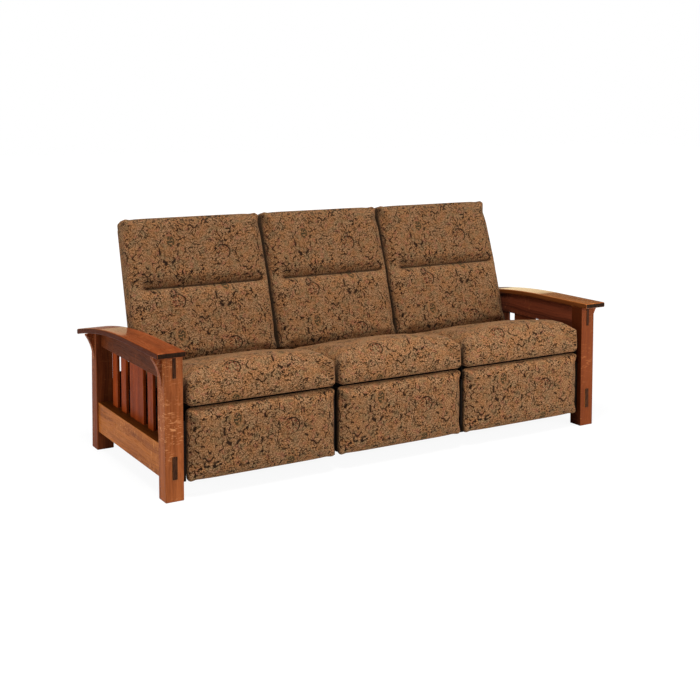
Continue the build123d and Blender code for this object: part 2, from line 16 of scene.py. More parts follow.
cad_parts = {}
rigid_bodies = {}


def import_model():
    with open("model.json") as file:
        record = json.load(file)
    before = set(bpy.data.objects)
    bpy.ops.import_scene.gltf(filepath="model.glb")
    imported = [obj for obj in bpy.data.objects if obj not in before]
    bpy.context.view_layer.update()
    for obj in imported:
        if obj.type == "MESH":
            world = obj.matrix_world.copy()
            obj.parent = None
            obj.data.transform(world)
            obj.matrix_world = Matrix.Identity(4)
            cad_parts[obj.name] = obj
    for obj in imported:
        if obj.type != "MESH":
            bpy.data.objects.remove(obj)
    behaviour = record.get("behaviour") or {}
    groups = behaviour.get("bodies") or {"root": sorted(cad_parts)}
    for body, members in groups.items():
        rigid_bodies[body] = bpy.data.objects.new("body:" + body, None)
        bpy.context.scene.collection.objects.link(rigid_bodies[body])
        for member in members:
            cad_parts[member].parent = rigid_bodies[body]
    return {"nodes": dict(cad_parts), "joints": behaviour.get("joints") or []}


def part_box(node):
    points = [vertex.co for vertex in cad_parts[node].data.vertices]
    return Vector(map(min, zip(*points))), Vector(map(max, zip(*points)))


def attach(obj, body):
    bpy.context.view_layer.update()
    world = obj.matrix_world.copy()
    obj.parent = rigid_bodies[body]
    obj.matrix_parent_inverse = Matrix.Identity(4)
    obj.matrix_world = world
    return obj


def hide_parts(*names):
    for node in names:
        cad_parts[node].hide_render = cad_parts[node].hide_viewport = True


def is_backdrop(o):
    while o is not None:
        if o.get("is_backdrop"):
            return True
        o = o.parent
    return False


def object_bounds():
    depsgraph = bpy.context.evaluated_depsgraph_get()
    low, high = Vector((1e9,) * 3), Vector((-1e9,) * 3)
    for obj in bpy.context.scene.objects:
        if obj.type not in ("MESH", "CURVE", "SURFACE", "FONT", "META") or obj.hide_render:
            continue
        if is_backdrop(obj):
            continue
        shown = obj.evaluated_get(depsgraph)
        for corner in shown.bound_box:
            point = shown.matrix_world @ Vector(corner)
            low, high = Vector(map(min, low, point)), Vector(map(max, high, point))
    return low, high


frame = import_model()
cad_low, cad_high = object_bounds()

scene = bpy.context.scene
scene.view_settings.view_transform = "Standard"
seats = ("left", "middle", "right")
nodes = frame["nodes"]
joints = {joint["name"]: joint for joint in frame["joints"]}
print("size of the frame:", [round(b - a, 3) for a, b in zip(cad_low, cad_high)])

# %% [markdown]
# ## The camera
# The picture that this part follows was taken from the front left, a little above the
# arms. The camera tilts down by less than five degrees, and the lens is shifted for the
# rest, because a shift keeps uprights upright in the picture and a tilt doesn't.

# %% Put up the camera
frame_pixels = 700
sensor_mm = 36.0
focal_pixels = 1144.6
lens_middle_row = 200.0
camera_place = (-2.5637, -4.2971, 1.4455)
camera_yaw = math.radians(30.887)
camera_pitch = math.radians(4.578)


def put(name, data):
    """A new object in the scene."""
    made = bpy.data.objects.new(name, data)
    scene.collection.objects.link(made)
    return made


camera = put("camera", bpy.data.cameras.new("camera"))
camera.location = camera_place
camera.rotation_euler = (math.pi / 2 - camera_pitch, 0, -camera_yaw)
camera.data.sensor_width = sensor_mm
camera.data.lens = focal_pixels / frame_pixels * sensor_mm
camera.data.shift_y = (lens_middle_row / frame_pixels) - 0.5
scene.camera = camera
print("lens:", round(camera.data.lens, 2), "mm, shift:", round(camera.data.shift_y, 3))

# %% [markdown]
# ## Short calls for node trees
# Materials here are node trees written in code. A small class keeps each node to one
# line: it adds the node, sets its options and joins or fills its inputs.

# %% A writer for node trees


class Wiring:
    """Adds nodes to a tree and joins them."""

    def __init__(self, tree):
        self.tree = tree

    def node(self, kind, feeds=None, **options):
        made = self.tree.nodes.new(kind)
        for name, value in options.items():
            setattr(made, name, value)
        for name, value in (feeds or {}).items():
            self.feed(made.inputs[name], value)
        return made

    def feed(self, socket, value):
        if isinstance(value, bpy.types.NodeSocket):
            self.tree.links.new(value, socket)
        else:
            socket.default_value = value

    def math(self, operation, *values, clamp=False):
        made = self.node("ShaderNodeMath", operation=operation, use_clamp=clamp)
        for socket, value in zip(made.inputs, values):
            self.feed(socket, value)
        return made.outputs[0]

    def vector(self, operation, *values, scale=None):
        made = self.node("ShaderNodeVectorMath", operation=operation)
        for socket, value in zip(made.inputs, values):
            self.feed(socket, value)
        if scale is not None:
            self.feed(made.inputs["Scale"], scale)
        return made.outputs["Value" if operation in ("DOT_PRODUCT", "LENGTH") else "Vector"]

    def times(self, first, second, clamp=False):
        return self.math("MULTIPLY", first, second, clamp=clamp)

    def plus(self, first, second):
        return self.math("ADD", first, second)

    def minus(self, first, second):
        return self.math("SUBTRACT", first, second)

    def wave(self, value, count):
        """A sine over a value, with so many radians for each unit."""
        return self.math("SINE", self.times(value, count))

    def ramp(self, value, low, high, to_low=0.0, to_high=1.0):
        feeds = {"Value": value, "From Min": low, "From Max": high,
                 "To Min": to_low, "To Max": to_high}
        return self.node("ShaderNodeMapRange", feeds,
                         interpolation_type="SMOOTHSTEP").outputs["Result"]

    def mix(self, factor, first, second, blend="MIX"):
        made = self.node("ShaderNodeMix", data_type="RGBA", blend_type=blend)
        for index, value in ((0, factor), (6, first), (7, second)):
            self.feed(made.inputs[index], value)
        return made.outputs[2]

    def tinted(self, tone, *shares):
        """A colour with a share of its red, its green and its blue."""
        return self.mix(1.0, tone, colour(*shares), "MULTIPLY")

    def noise(self, place, scale, detail=2.0, distortion=0.0, output="Fac"):
        feeds = {"Vector": place, "Scale": scale, "Detail": detail,
                 "Distortion": distortion}
        return self.node("ShaderNodeTexNoise", feeds).outputs[output]

    def wandered(self, place, count, far):
        """The place, drawn aside a little by a noise."""
        drift = self.noise(place, count, 1.0, output="Color")
        drift = self.vector("SUBTRACT", drift, (0.5, 0.5, 0.5))
        return self.vector("ADD", place, self.vector("SCALE", drift, scale=far))

    def patches(self, place, count, detail, low, high, *levels, **changes):
        """Soft patches, where a noise lies between two values. The place can be changed."""
        if changes:
            place = self.moved(place, **changes)
        return self.ramp(self.noise(place, count, detail), low, high, *levels)

    def cells(self, place, scale):
        made = self.node("ShaderNodeTexVoronoi", {"Vector": place, "Scale": scale})
        return made.outputs["Distance"]

    def own_place(self):
        """The piece's own coordinates."""
        return self.node("ShaderNodeTexCoord").outputs["Object"]

    def bumped(self, shader, height, strength, depth):
        bump = self.node("ShaderNodeBump", {"Height": height, "Strength": strength,
                                            "Distance": depth})
        self.feed(shader.inputs["Normal"], bump.outputs["Normal"])

    def moved(self, place, move=(0, 0, 0), turn=(0, 0, 0), scale=(1, 1, 1)):
        feeds = {"Vector": place, "Location": move, "Rotation": turn, "Scale": scale}
        return self.node("ShaderNodeMapping", feeds).outputs["Vector"]

    def parts(self, place):
        return self.node("ShaderNodeSeparateXYZ", {"Vector": place}).outputs

    def joined(self, x, y, z=0.0):
        return self.node("ShaderNodeCombineXYZ", {"X": x, "Y": y, "Z": z}).outputs[0]

    def group(self, tree, feeds):
        made = self.node("ShaderNodeGroup", node_tree=tree)
        for name, value in feeds.items():
            self.feed(made.inputs[name], value)
        return made.outputs


def shader_group(name, feeds, gives):
    """An empty node group with named inputs and outputs."""
    tree = bpy.data.node_groups.new(name, "ShaderNodeTree")
    for label, value in feeds.items():
        kind = {float: "Float", tuple: "Color", str: "Vector"}[type(value)]
        socket = tree.interface.new_socket(name=label, in_out="INPUT",
                                           socket_type="NodeSocket" + kind)
        if kind != "Vector":
            socket.default_value = value
    for label, kind in gives.items():
        tree.interface.new_socket(name=label, in_out="OUTPUT",
                                  socket_type="NodeSocket" + kind)
    wires = Wiring(tree)
    taken, given = wires.node("NodeGroupInput").outputs, wires.node("NodeGroupOutput").inputs
    return tree, wires, taken, given


def colour(red, green, blue):
    return (red, green, blue, 1.0)


def material(name, **values):
    """A new material and the wiring, with plain values set on its shader."""
    made = bpy.data.materials.new(name)
    made.use_nodes = True
    shader = made.node_tree.nodes["Principled BSDF"]
    for label, value in values.items():
        shader.inputs[label.replace("_", " ")].default_value = value
    return made, Wiring(made.node_tree), shader


# %% [markdown]
# ## Stained quartersawn oak
# Oak that is sawn towards the middle of the log shows three things. Fine dark pores run
# with the board, broad bands of colour run with them, and pale ray flecks cross the
# grain in short wavy patches. All three are noise, stretched by different amounts along
# the board. The group takes a place whose Z runs along the board, so that one group
# serves legs, rails and arms.

# %% Group: long grain of oak
oak_grain, w, taken, given = shader_group(
    "oak grain",
    {"Place": "", "Light": colour(0.4, 0.13, 0.05), "Dark": colour(0.18, 0.05, 0.02),
     "Fleck": colour(0.5, 0.2, 0.08), "Fleck Amount": 0.5},
    {"Color": "Color", "Roughness": "Float", "Height": "Float"},
)
place = w.wandered(taken["Place"], 4.0, 0.03)
broad = w.patches(place, 26.0, 3.0, 0.3, 0.7, scale=(1, 1, 0.05))
streak = w.patches(place, 170.0, 3.0, 0.3, 0.7, scale=(1, 1, 0.02))
pore = w.patches(place, 620.0, 1.0, 0.56, 0.7, scale=(1, 1, 0.022))
ray = w.noise(w.moved(place, scale=(0.3, 0.3, 1)), 105.0, 2.0, 1.6)
ray = w.ramp(ray, 0.55, 0.68)
ray_area = w.patches(taken["Place"], 9.0, 1.0, 0.42, 0.62, scale=(1, 1, 0.6))
ray = w.times(w.times(ray, ray_area), taken["Fleck Amount"])
tone = w.plus(w.times(broad, 0.55), w.times(streak, 0.45))
shade = w.mix(tone, taken["Dark"], taken["Light"])
shade = w.mix(w.times(pore, 0.55), shade, w.mix(0.5, shade, taken["Dark"], "MULTIPLY"))
shade = w.mix(ray, shade, taken["Fleck"])
w.feed(given["Color"], shade)
w.feed(given["Roughness"], w.plus(0.42, w.times(pore, 0.25)))
w.feed(given["Height"], w.minus(w.times(tone, 0.3), pore))

# %% [markdown]
# Cut across the board, oak drinks more stain and goes dark. The rings show as faint
# lines and the pores as dots. The face's own normal tells end from side. Long edges go pale
# where they are rubbed: there, a normal that is rounded off turns away from the face's own.

# %% Group: end grain and edge wear
end_grain, w, taken, given = shader_group(
    "end grain", {"Place": "", "Tone": colour(0.028, 0.011, 0.005)}, {"Color": "Color"}
)
rings = w.patches(taken["Place"], 240.0, 2.0, 0.35, 0.65, scale=(1, 0.2, 1))
dots = w.ramp(w.cells(taken["Place"], 900.0), 0.15, 0.35)
lighter = w.tinted(taken["Tone"], 2.2, 2.0, 1.8)
dark_end = w.mix(rings, taken["Tone"], lighter)
w.feed(given["Color"], w.mix(dots, w.tinted(dark_end, 0.5, 0.5, 0.5), dark_end))

edge_wear, w, taken, given = shader_group(
    "edge wear", {"Place": "", "Width": 0.004, "Amount": 0.6}, {"Mask": "Float"}
)
smooth_normal = w.node("ShaderNodeBevel", {"Radius": taken["Width"]}, samples=4).outputs[0]
flat_normal = w.node("ShaderNodeNewGeometry").outputs["Normal"]
turned = w.minus(1.0, w.vector("DOT_PRODUCT", smooth_normal, flat_normal))
patchy = w.patches(taken["Place"], 35.0, 3.0, 0.35, 0.65, 0.35, 1.0)
worn = w.times(w.ramp(turned, 0.01, 0.16), patchy)
w.feed(given["Mask"], w.times(worn, taken["Amount"], clamp=True))

# %% [markdown]
# A board's colour comes from these groups together. The object coordinates are turned so
# that Z runs along the board. The lacquer is a thin coat, which end grain drinks up. Faces
# across one axis can be darkened as painted shade, and these get no coat. Tones are set for
# each piece, partly as painted light and shade: the upper rails and the right side's legs
# and slats are darker, as painted shade, and the right arm top is lighter, as painted light.


# %% Oak materials for each direction of grain
def oak_material(name, along, light, dark, fleck, fleck_amount, coat=0.06, gloss=0.12,
                 wear_amount=0.5, end_tone=(0.028, 0.011, 0.005), shaded_faces=None):
    """Oak whose grain runs along X, Y or Z, with the faces across one axis darkened as painted
    shade.
    """
    light, dark, fleck, end_tone = (colour(*tone) for tone in (light, dark, fleck, end_tone))
    made, w, shader = material(name, Coat_Roughness=gloss, Specular_IOR_Level=0.05)
    place = w.own_place()
    turn = {"X": (0, -math.pi / 2, 0), "Y": (math.pi / 2, 0, 0), "Z": (0, 0, 0)}[along]
    along_board = w.moved(place, turn=turn)
    grain = w.group(oak_grain, {"Place": along_board, "Light": light, "Dark": dark,
                                "Fleck": fleck, "Fleck Amount": fleck_amount})
    end = w.group(end_grain, {"Place": along_board, "Tone": end_tone})
    wear = w.group(edge_wear, {"Place": place, "Amount": wear_amount})
    normals = w.parts(w.node("ShaderNodeNewGeometry").outputs["Normal"])
    on_end = w.ramp(w.math("ABSOLUTE", normals[along]), 0.75, 0.95)
    shade = w.mix(wear["Mask"], grain["Color"], fleck)
    lacquered = w.minus(1.0, on_end)
    # painted shade: faces across the given axis are darkened and lose their coat
    if shaded_faces:
        across = w.ramp(w.math("ABSOLUTE", normals[shaded_faces]), 0.55, 0.85)
        shade = w.mix(w.times(across, 0.86), shade, w.tinted(dark, 0.3, 0.25, 0.2))
        lacquered = w.times(lacquered, w.minus(1.0, across))
    w.feed(shader.inputs["Coat Weight"], w.times(lacquered, coat))
    shade = w.mix(on_end, shade, end["Color"])
    w.feed(shader.inputs["Base Color"], shade)
    w.feed(shader.inputs["Roughness"], grain["Roughness"])
    w.bumped(shader, grain["Height"], 0.25, 0.0004)
    return made


# for each piece: the way of its grain, light and dark wood, the ray flecks and how many, and
# what differs in its finish
arm_finish_and_shade = {"shaded_faces": "X", "gloss": 0.05, "end_tone": (0.012, 0.005, 0.002)}
# painted light and shade in the tones: the upper rails and the right side's legs and slats are
# darker as painted shade, and the right arm top is lighter as painted light
oak_pieces = {
    "left_front_leg": ("Z", (0.37, 0.105, 0.028), (0.18, 0.044, 0.010), (0.52, 0.21, 0.075), 0.95,
                       {}),
    "right_front_leg": ("Z", (0.21, 0.048, 0.011), (0.12, 0.024, 0.006), (0.36, 0.115, 0.035), 0.6,
                        {"shaded_faces": "X"}),
    "right_rear_leg": ("Z", (0.06, 0.015, 0.005), (0.02, 0.005, 0.002), (0.1, 0.03, 0.01), 0.35,
                       {}),
    "right_side_slats": ("Z", (0.12, 0.026, 0.008), (0.05, 0.011, 0.004), (0.2, 0.06, 0.02), 0.35,
                         {}),
    "rear_leg": ("Z", (0.25, 0.06, 0.017), (0.085, 0.017, 0.006), (0.38, 0.14, 0.05), 0.35, {}),
    "lower_side_rail": ("Y", (0.43, 0.133, 0.023), (0.18, 0.046, 0.007), (0.54, 0.21, 0.05), 0.95,
                        {"shaded_faces": "Z"}),
    "left_upper_side_rail": ("Y", (0.13, 0.03, 0.007), (0.05, 0.011, 0.003), (0.2, 0.05, 0.014),
                             0.7, {"coat": 0.0}),
    "right_upper_side_rail": ("Y", (0.15, 0.034, 0.014), (0.05, 0.011, 0.005), (0.26, 0.08, 0.03),
                              0.8, {"coat": 0.0}),
    "side_slats": ("Z", (0.33, 0.052, 0.006), (0.13, 0.018, 0.002), (0.38, 0.09, 0.014), 0.35, {}),
    "corbels": ("Z", (0.3, 0.074, 0.02), (0.15, 0.032, 0.009), (0.55, 0.24, 0.1), 0.5,
                {"wear_amount": 0.8}),
    "left_arm_top": ("Y", (0.27, 0.058, 0.014), (0.13, 0.025, 0.006), (0.42, 0.14, 0.045), 0.45,
                     {**arm_finish_and_shade, "coat": 0.34, "wear_amount": 0.3}),
    "right_arm_top": ("Y", (0.44, 0.14, 0.035), (0.24, 0.065, 0.014), (0.55, 0.22, 0.06), 0.45,
                      {**arm_finish_and_shade, "coat": 0.95, "wear_amount": 0.2}),
}
oak_for = {piece: oak_material("oak_" + piece, *tones, **finish)
           for piece, (*tones, finish) in oak_pieces.items()}
# painted shade: the frame wood that shows in the gaps between the panels is near-black
shaded_hidden_wood = {axis: oak_material("shaded_hidden_wood_" + axis.lower(), axis, (0.012, 0.008, 0.006),
                                  (0.006, 0.004, 0.003), (0.016, 0.011, 0.008), 0.1, coat=0.0,
                                  wear_amount=0.1, end_tone=(0.006, 0.004, 0.003))
               for axis in "XY"}
print("wood materials:", len(oak_for) + len(shaded_hidden_wood))

# %% [markdown]
# ## Steel, zinc and webbing
# The linkage is pressed steel under black paint. Paint is never quite flat, so it gets a
# fine orange-peel bump, and it wears to grey at the edges. Bolts are zinc plated. The
# straps under the cushions are woven elastic with coloured lines along their length.


# %% Materials for the hardware
def metal_material(name, tone, bare, roughness, wear_amount, **values):
    made, w, shader = material(name, **values)
    place = w.own_place()
    wear = w.group(edge_wear, {"Place": place, "Width": 0.0015, "Amount": wear_amount})
    cloudy = w.noise(place, 60.0, 3.0)
    tone = w.mix(cloudy, tone, w.mix(0.35, tone, bare))
    w.feed(shader.inputs["Base Color"], w.mix(wear["Mask"], tone, bare))
    w.feed(shader.inputs["Roughness"], w.ramp(cloudy, 0.3, 0.7, roughness - 0.06, roughness + 0.1))
    peel = w.noise(place, 900.0, 1.0)
    w.bumped(shader, peel, 0.12, 0.0002)
    return made


painted_steel = metal_material("black_painted_steel", colour(0.012, 0.012, 0.014),
                               colour(0.11, 0.11, 0.115), 0.38, 0.5, Metallic=0.25)
zinc = metal_material("zinc_plate", colour(0.42, 0.43, 0.44), colour(0.6, 0.61, 0.62),
                      0.3, 0.6, Metallic=1.0)

webbing_cloth, w, shader = material("woven_webbing", Roughness=0.85)
across, along, _ = w.parts(w.own_place())
rib = w.wave(along, 2600.0)
line = w.ramp(w.wave(across, 330.0), 0.55, 0.8)
strap_tone = w.mix(line, colour(0.035, 0.028, 0.024), colour(0.2, 0.09, 0.035))
w.feed(shader.inputs["Base Color"], w.mix(w.ramp(rib, -1.0, 1.0, 0.0, 0.5), strap_tone,
                                          colour(0.01, 0.008, 0.007)))
w.bumped(shader, rib, 0.5, 0.0006)

# %% [markdown]
# ## Paint the CAD pieces
# The wood and steel already have their real shape in CAD, with eased edges and bored
# holes. They stay as they are and only take a finish.


# %% Give each CAD node its material
def paint(node, finish):
    mesh = nodes[node].data
    mesh.materials.clear()
    mesh.materials.append(finish)


for side in ("left", "right"):
    for piece in ("arm_top", "front_leg", "rear_leg", "lower_side_rail", "upper_side_rail",
                  "side_slats", "corbels"):
        node = side + "_" + piece
        paint(node, oak_for.get(node, oak_for.get(piece)))
# the near-black frame wood is painted shade in the gaps
for node in ("front_rail", "rear_rail"):
    paint(node, shaded_hidden_wood["X"])
paint("bay_boards", shaded_hidden_wood["Y"])
paint("seat_webbing", webbing_cloth)
paint("frame_bolts", zinc)
paint("pivot_pins", zinc)
for seat in seats:
    for piece in ("seat_frame", "footrest_board"):
        paint(seat + "_" + piece, shaded_hidden_wood["X"])
    for piece in ("back_brackets", "footrest_brackets", "side_plates", "drive_links",
                  "torque_tube", "lift_links", "control_links"):
        paint(seat + "_" + piece, painted_steel)

# %% [markdown]
# ## Woven tapestry
# The cloth is a dense floral tapestry: a tan ground, small dark curls and leaves, and
# larger teardrops and flower heads in a half-drop repeat. A weaver draws it once and
# repeats it, so the group wraps the cloth's own coordinates to one repeat and draws each
# motif from circles and angles there. Curls are the level lines of a noise, because a
# level line winds and closes on itself as a vine does. The cloth's coordinates are a UV
# map in metres, laid flat over each cushion before it is filled.

# %% Group: one repeat of the large motifs
motifs, w, taken, given = shader_group(
    "tapestry motifs", {"Place": ""},
    {"Outline": "Float", "Halo": "Float", "Leaf": "Float", "Berry": "Float", "Crowd": "Float"},
)


def round_about(w, place, x, y, turn=0.0, squeeze=1.0):
    """Distance and angle from a point of the repeat."""
    local = w.moved(w.vector("SUBTRACT", place, (x, y, 0.0)), turn=(0, 0, turn),
                    scale=(1.0, squeeze, 1.0))
    px, py, _ = w.parts(local)
    return w.vector("LENGTH", local), w.math("ARCTAN2", py, px), px, py


def band(w, value, middle, half, soft):
    """1 where a value lies near a middle, 0 elsewhere."""
    away = w.math("ABSOLUTE", w.minus(value, middle))
    return w.ramp(away, half, half + soft, 1.0, 0.0)


def both(w, *values):
    total = values[0]
    for value in values[1:]:
        total = w.math("MAXIMUM", total, value)
    return total


place = taken["Place"]
# a scalloped teardrop, drawn in broken arcs, with a short arch inside it
reach, angle, px, py = round_about(w, place, 0.0, 0.0, 0.35, 0.86)
edge = w.plus(0.050, w.times(w.wave(angle, 13.0), 0.0032))
edge = w.minus(edge, w.times(py, 0.28))
arcs = w.patches(place, 46.0, 0.0, 0.42, 0.47)
off_edge = w.minus(reach, edge)
drop_line = w.times(band(w, off_edge, 0.0, 0.0013, 0.0018), arcs)
inner_gaps = w.ramp(w.wave(angle, 8.0), 0.0, 0.5)
inner = w.times(band(w, off_edge, -0.020, 0.0014, 0.002), inner_gaps)
inside_drop = w.ramp(off_edge, -0.012, 0.002, 0.45, 0.0)
beside_line = w.times(band(w, off_edge, 0.0, 0.006, 0.004), 0.35)

# a palm with a plain warm ground round its dark tip
palm_reach, palm_angle, _, palm_y = round_about(w, place, 0.104, 0.056, 0.5, 0.7)
palm_halo = w.ramp(palm_reach, 0.016, 0.036, 1.0, 0.0)
fronds = w.patches(place, 140.0, 1.0, 0.4, 0.47)
palm_tip = w.times(w.ramp(palm_reach, 0.013, 0.02, 1.0, 0.0), fronds)
palm_line = band(w, w.plus(palm_reach, w.times(palm_y, 0.5)), 0.034, 0.0014, 0.0022)
palm_line = w.times(palm_line, w.ramp(w.wave(palm_angle, 11.0), -0.5, 0.1))

# an arched stem of berries
spray_reach, spray_angle, spray_x, _ = round_about(w, place, -0.112, 0.0, -0.6)
stem = w.times(band(w, spray_reach, 0.030, 0.0014, 0.0024), w.ramp(spray_x, -0.012, 0.004))
berry_ring = w.ramp(w.wave(spray_angle, 8.0), 0.35, 0.75)
berries = w.times(band(w, spray_reach, 0.021, 0.003, 0.002), berry_ring)

# flower heads: two rings of leaning commas round a dark eye
def petal_ring(w, far, angle, radius, half, petals, lean):
    turned = w.plus(w.times(angle, float(petals)), w.times(far, lean))
    off_ring = w.math("DIVIDE", w.minus(far, radius), half)
    petal = w.minus(w.math("SINE", turned), w.times(off_ring, off_ring))
    return w.ramp(petal, 0.25, 0.6)


heads = []
for x, y, turn, squeeze, radius, petals in (
        (0.178, -0.004, 0.3, 0.75, 0.018, 6), (-0.078, 0.060, -0.4, 0.7, 0.015, 5),
        (0.070, -0.066, 0.9, 0.75, 0.017, 6), (-0.165, -0.062, 0.2, 0.9, 0.014, 5),
        (0.010, 0.092, 0.6, 0.8, 0.013, 5)):
    far, round_angle, _, _ = round_about(w, place, x, y, turn, squeeze)
    heads += [petal_ring(w, far, round_angle, radius, 0.0048, petals, 220.0),
              petal_ring(w, far, round_angle, radius * 0.5, 0.0032, petals - 2, -300.0),
              w.ramp(far, 0.0014, 0.0036, 0.9, 0.0)]
heads = w.times(both(w, *heads), w.patches(place, 62.0, 0.0, 0.46, 0.54))
crowd = both(w, *[w.ramp(round_about(w, place, x, y)[0], 0.02, 0.036, 1.0, 0.0)
                  for x, y in ((0.125, -0.045), (-0.12, 0.02), (-0.01, -0.08))])

w.feed(given["Outline"], both(w, drop_line, inner, palm_line, stem, heads))
w.feed(given["Halo"], both(w, palm_halo, inside_drop, beside_line))
w.feed(given["Leaf"], palm_tip)
w.feed(given["Berry"], berries)
w.feed(given["Crowd"], crowd)

# %% [markdown]
# The cloth lays two sets of motifs half a repeat apart. Curls and leaves fill the ground
# between them, bold where they crowd and faint elsewhere. The yarns differ a little in
# colour, as dyed wool does, and their weave gives the cloth its height.

# %% Group: the whole cloth
tapestry, w, taken, given = shader_group(
    "tapestry", {"Place": "", "Ground": colour(0.325, 0.176, 0.085),
                 "Warm": colour(0.332, 0.150, 0.056), "Scroll": colour(0.010, 0.004, 0.001)},
    {"Color": "Color", "Height": "Float"},
)
repeat_across, repeat_up = 0.44, 0.39
place = taken["Place"]
drawn = w.wandered(place, 36.0, 0.0075)


def wrapped(w, spot, move_across, move_up):
    """A spot's place inside one repeat, counted from its middle."""
    x, y, _ = w.parts(w.vector("ADD", spot, (move_across, move_up, 0.0)))
    x = w.math("WRAP", x, repeat_across / 2, -repeat_across / 2)
    y = w.math("WRAP", y, repeat_up / 2, -repeat_up / 2)
    return w.joined(x, y)


sets = [w.group(motifs, {"Place": wrapped(w, drawn, *move)})
        for move in ((0.0, 0.0), (repeat_across / 2, repeat_up / 2))]
outline, halo, leaf, berry, crowd = [both(w, sets[0][name], sets[1][name])
                                     for name in ("Outline", "Halo", "Leaf", "Berry", "Crowd")]

# curls, from the level lines of a noise, broken into strokes
broken = w.patches(place, 84.0, 0.0, 0.46, 0.52)
curls = w.times(band(w, w.noise(drawn, 54.0, 0.5), 0.5, 0.034, 0.034), broken)
finer = w.patches(place, 112.0, 0.0, 0.44, 0.5, move=(4, 4, 0))
fine_lines = band(w, w.noise(w.moved(drawn, move=(5, 2, 0)), 82.0, 0.0), 0.5, 0.045, 0.045)
finer = w.times(fine_lines, finer)
# leaves, leaning one way or the other
lean_a = w.cells(w.moved(drawn, turn=(0, 0, 0.7), scale=(1.0, 0.36, 1.0)), 150.0)
lean_b = w.cells(w.moved(drawn, turn=(0, 0, -0.9), scale=(1.0, 0.36, 1.0)), 138.0)
lean_pick = w.patches(place, 21.0, 0.0, 0.46, 0.54)
leaves = w.mix(lean_pick, lean_b, lean_a)
leaves = w.ramp(leaves, 0.18, 0.34, 1.0, 0.0)
# strokes are bold where leaves crowd together and faint between
loose = w.patches(place, 17.0, 1.0, 0.44, 0.56, move=(2, 9, 0))
bold = both(w, crowd, loose)
curl_share = w.plus(0.45, w.times(bold, 0.55))
leaf_share = w.plus(0.03, w.times(crowd, 0.8))
flecks = both(w, w.times(curls, curl_share), w.times(leaves, leaf_share),
              w.times(finer, w.ramp(bold, 0.0, 1.0, 0.5, 0.8)))
flecks = w.times(flecks, w.minus(1.0, w.times(halo, 0.7)))

# yarns: the ground is never one colour, and some yarns are warmer or greyer
speckle = w.patches(place, 215.0, 1.5, 0.36, 0.62)
cloth = w.mix(speckle, w.tinted(taken["Ground"], 0.38, 0.29, 0.19), taken["Ground"])
warmth = w.times(w.patches(place, 19.0, 3.0, 0.42, 0.6), 0.7)
warm_yarn = w.mix(speckle, w.tinted(taken["Warm"], 0.44, 0.34, 0.24), taken["Warm"])
cloth = w.mix(both(w, warmth, w.times(halo, 0.75)), cloth, warm_yarn)
grey_area = w.patches(place, 30.0, 2.0, 0.52, 0.64, move=(3, 1, 0))
cloth = w.mix(w.times(grey_area, 0.34), cloth, colour(0.13, 0.105, 0.05))
red_area = w.patches(place, 38.0, 2.0, 0.58, 0.66, move=(1, 7, 0))
cloth = w.mix(w.times(red_area, 0.45), cloth, colour(0.24, 0.075, 0.042))
cloth = w.mix(flecks, cloth, taken["Scroll"])
cloth = w.mix(w.times(outline, 0.97), cloth, taken["Scroll"])
cloth = w.mix(w.times(leaf, 0.9), cloth, colour(0.016, 0.019, 0.008))
cloth = w.mix(w.times(berry, 0.75), cloth, colour(0.16, 0.035, 0.016))
across, up, _ = w.parts(place)
yarn = w.times(w.wave(across, 3900.0), w.wave(up, 3100.0))
slub = w.noise(w.moved(place, scale=(1.0, 0.5, 1.0)), 430.0, 2.0)
light_yarn = w.plus(w.times(yarn, 0.08), w.ramp(slub, 0.3, 0.7, 0.78, 1.22))
light_yarn = w.joined(light_yarn, light_yarn, light_yarn)
w.feed(given["Color"], w.mix(1.0, cloth, light_yarn, "MULTIPLY"))
pile = w.plus(w.times(yarn, 0.5), w.times(slub, 0.8))
w.feed(given["Height"], w.minus(pile, w.times(both(w, flecks, outline), 0.7)))

# %% [markdown]
# The material reads the group at the cloth map. A value on each corner darkens the cloth
# towards near-black as painted shade: in the channel's crease and at its ends, on the side
# faces between cushions, and over the whole back, more above the channel. The thread is
# twisted from light and dark strands, so it gets bands.

# %% Cloth and thread materials
tapestry_cloth, w, shader = material("tapestry_cloth", Roughness=0.9, Sheen_Weight=0.13,
                                     Sheen_Roughness=0.5, Sheen_Tint=colour(0.9, 0.55, 0.3),
                                     Specular_IOR_Level=0.1)
woven = w.group(tapestry, {"Place": w.node("ShaderNodeUVMap", uv_map="cloth").outputs["UV"]})
painted_shade = w.node("ShaderNodeAttribute", attribute_name="painted_shade").outputs["Fac"]
# painted shade: the value on each corner mixes the cloth towards near-black
w.feed(shader.inputs["Base Color"], w.mix(painted_shade, woven["Color"], colour(0.006, 0.003, 0.001)))
w.bumped(shader, woven["Height"], 0.35, 0.0006)

thread, w, shader = material("sewing_thread", Roughness=0.6)
twist = w.wave(w.parts(w.own_place())[0], 5200.0)
w.feed(shader.inputs["Base Color"], w.mix(w.ramp(twist, -1.0, 1.0), colour(0.075, 0.042, 0.02),
                                          colour(0.16, 0.095, 0.05)))
print("cloth materials ready")

# %% [markdown]
# ## Cushions: a case of cloth, filled
# A cushion is a sewn case pushed full of foam. The case is made as the upholsterer cuts
# it: a closed box of small quads, with the cloth's coordinates laid flat on it before
# anything bends. Blender's cloth solver then blows it up from inside. The solver works
# on the box directly, with no remesh, so the UV map and the seam lines survive.
#
# Backs and footrests are made in their own three directions: across the seat, along the
# cushion, and out of its face. A lean then stands them up. Seats are made as they lie.


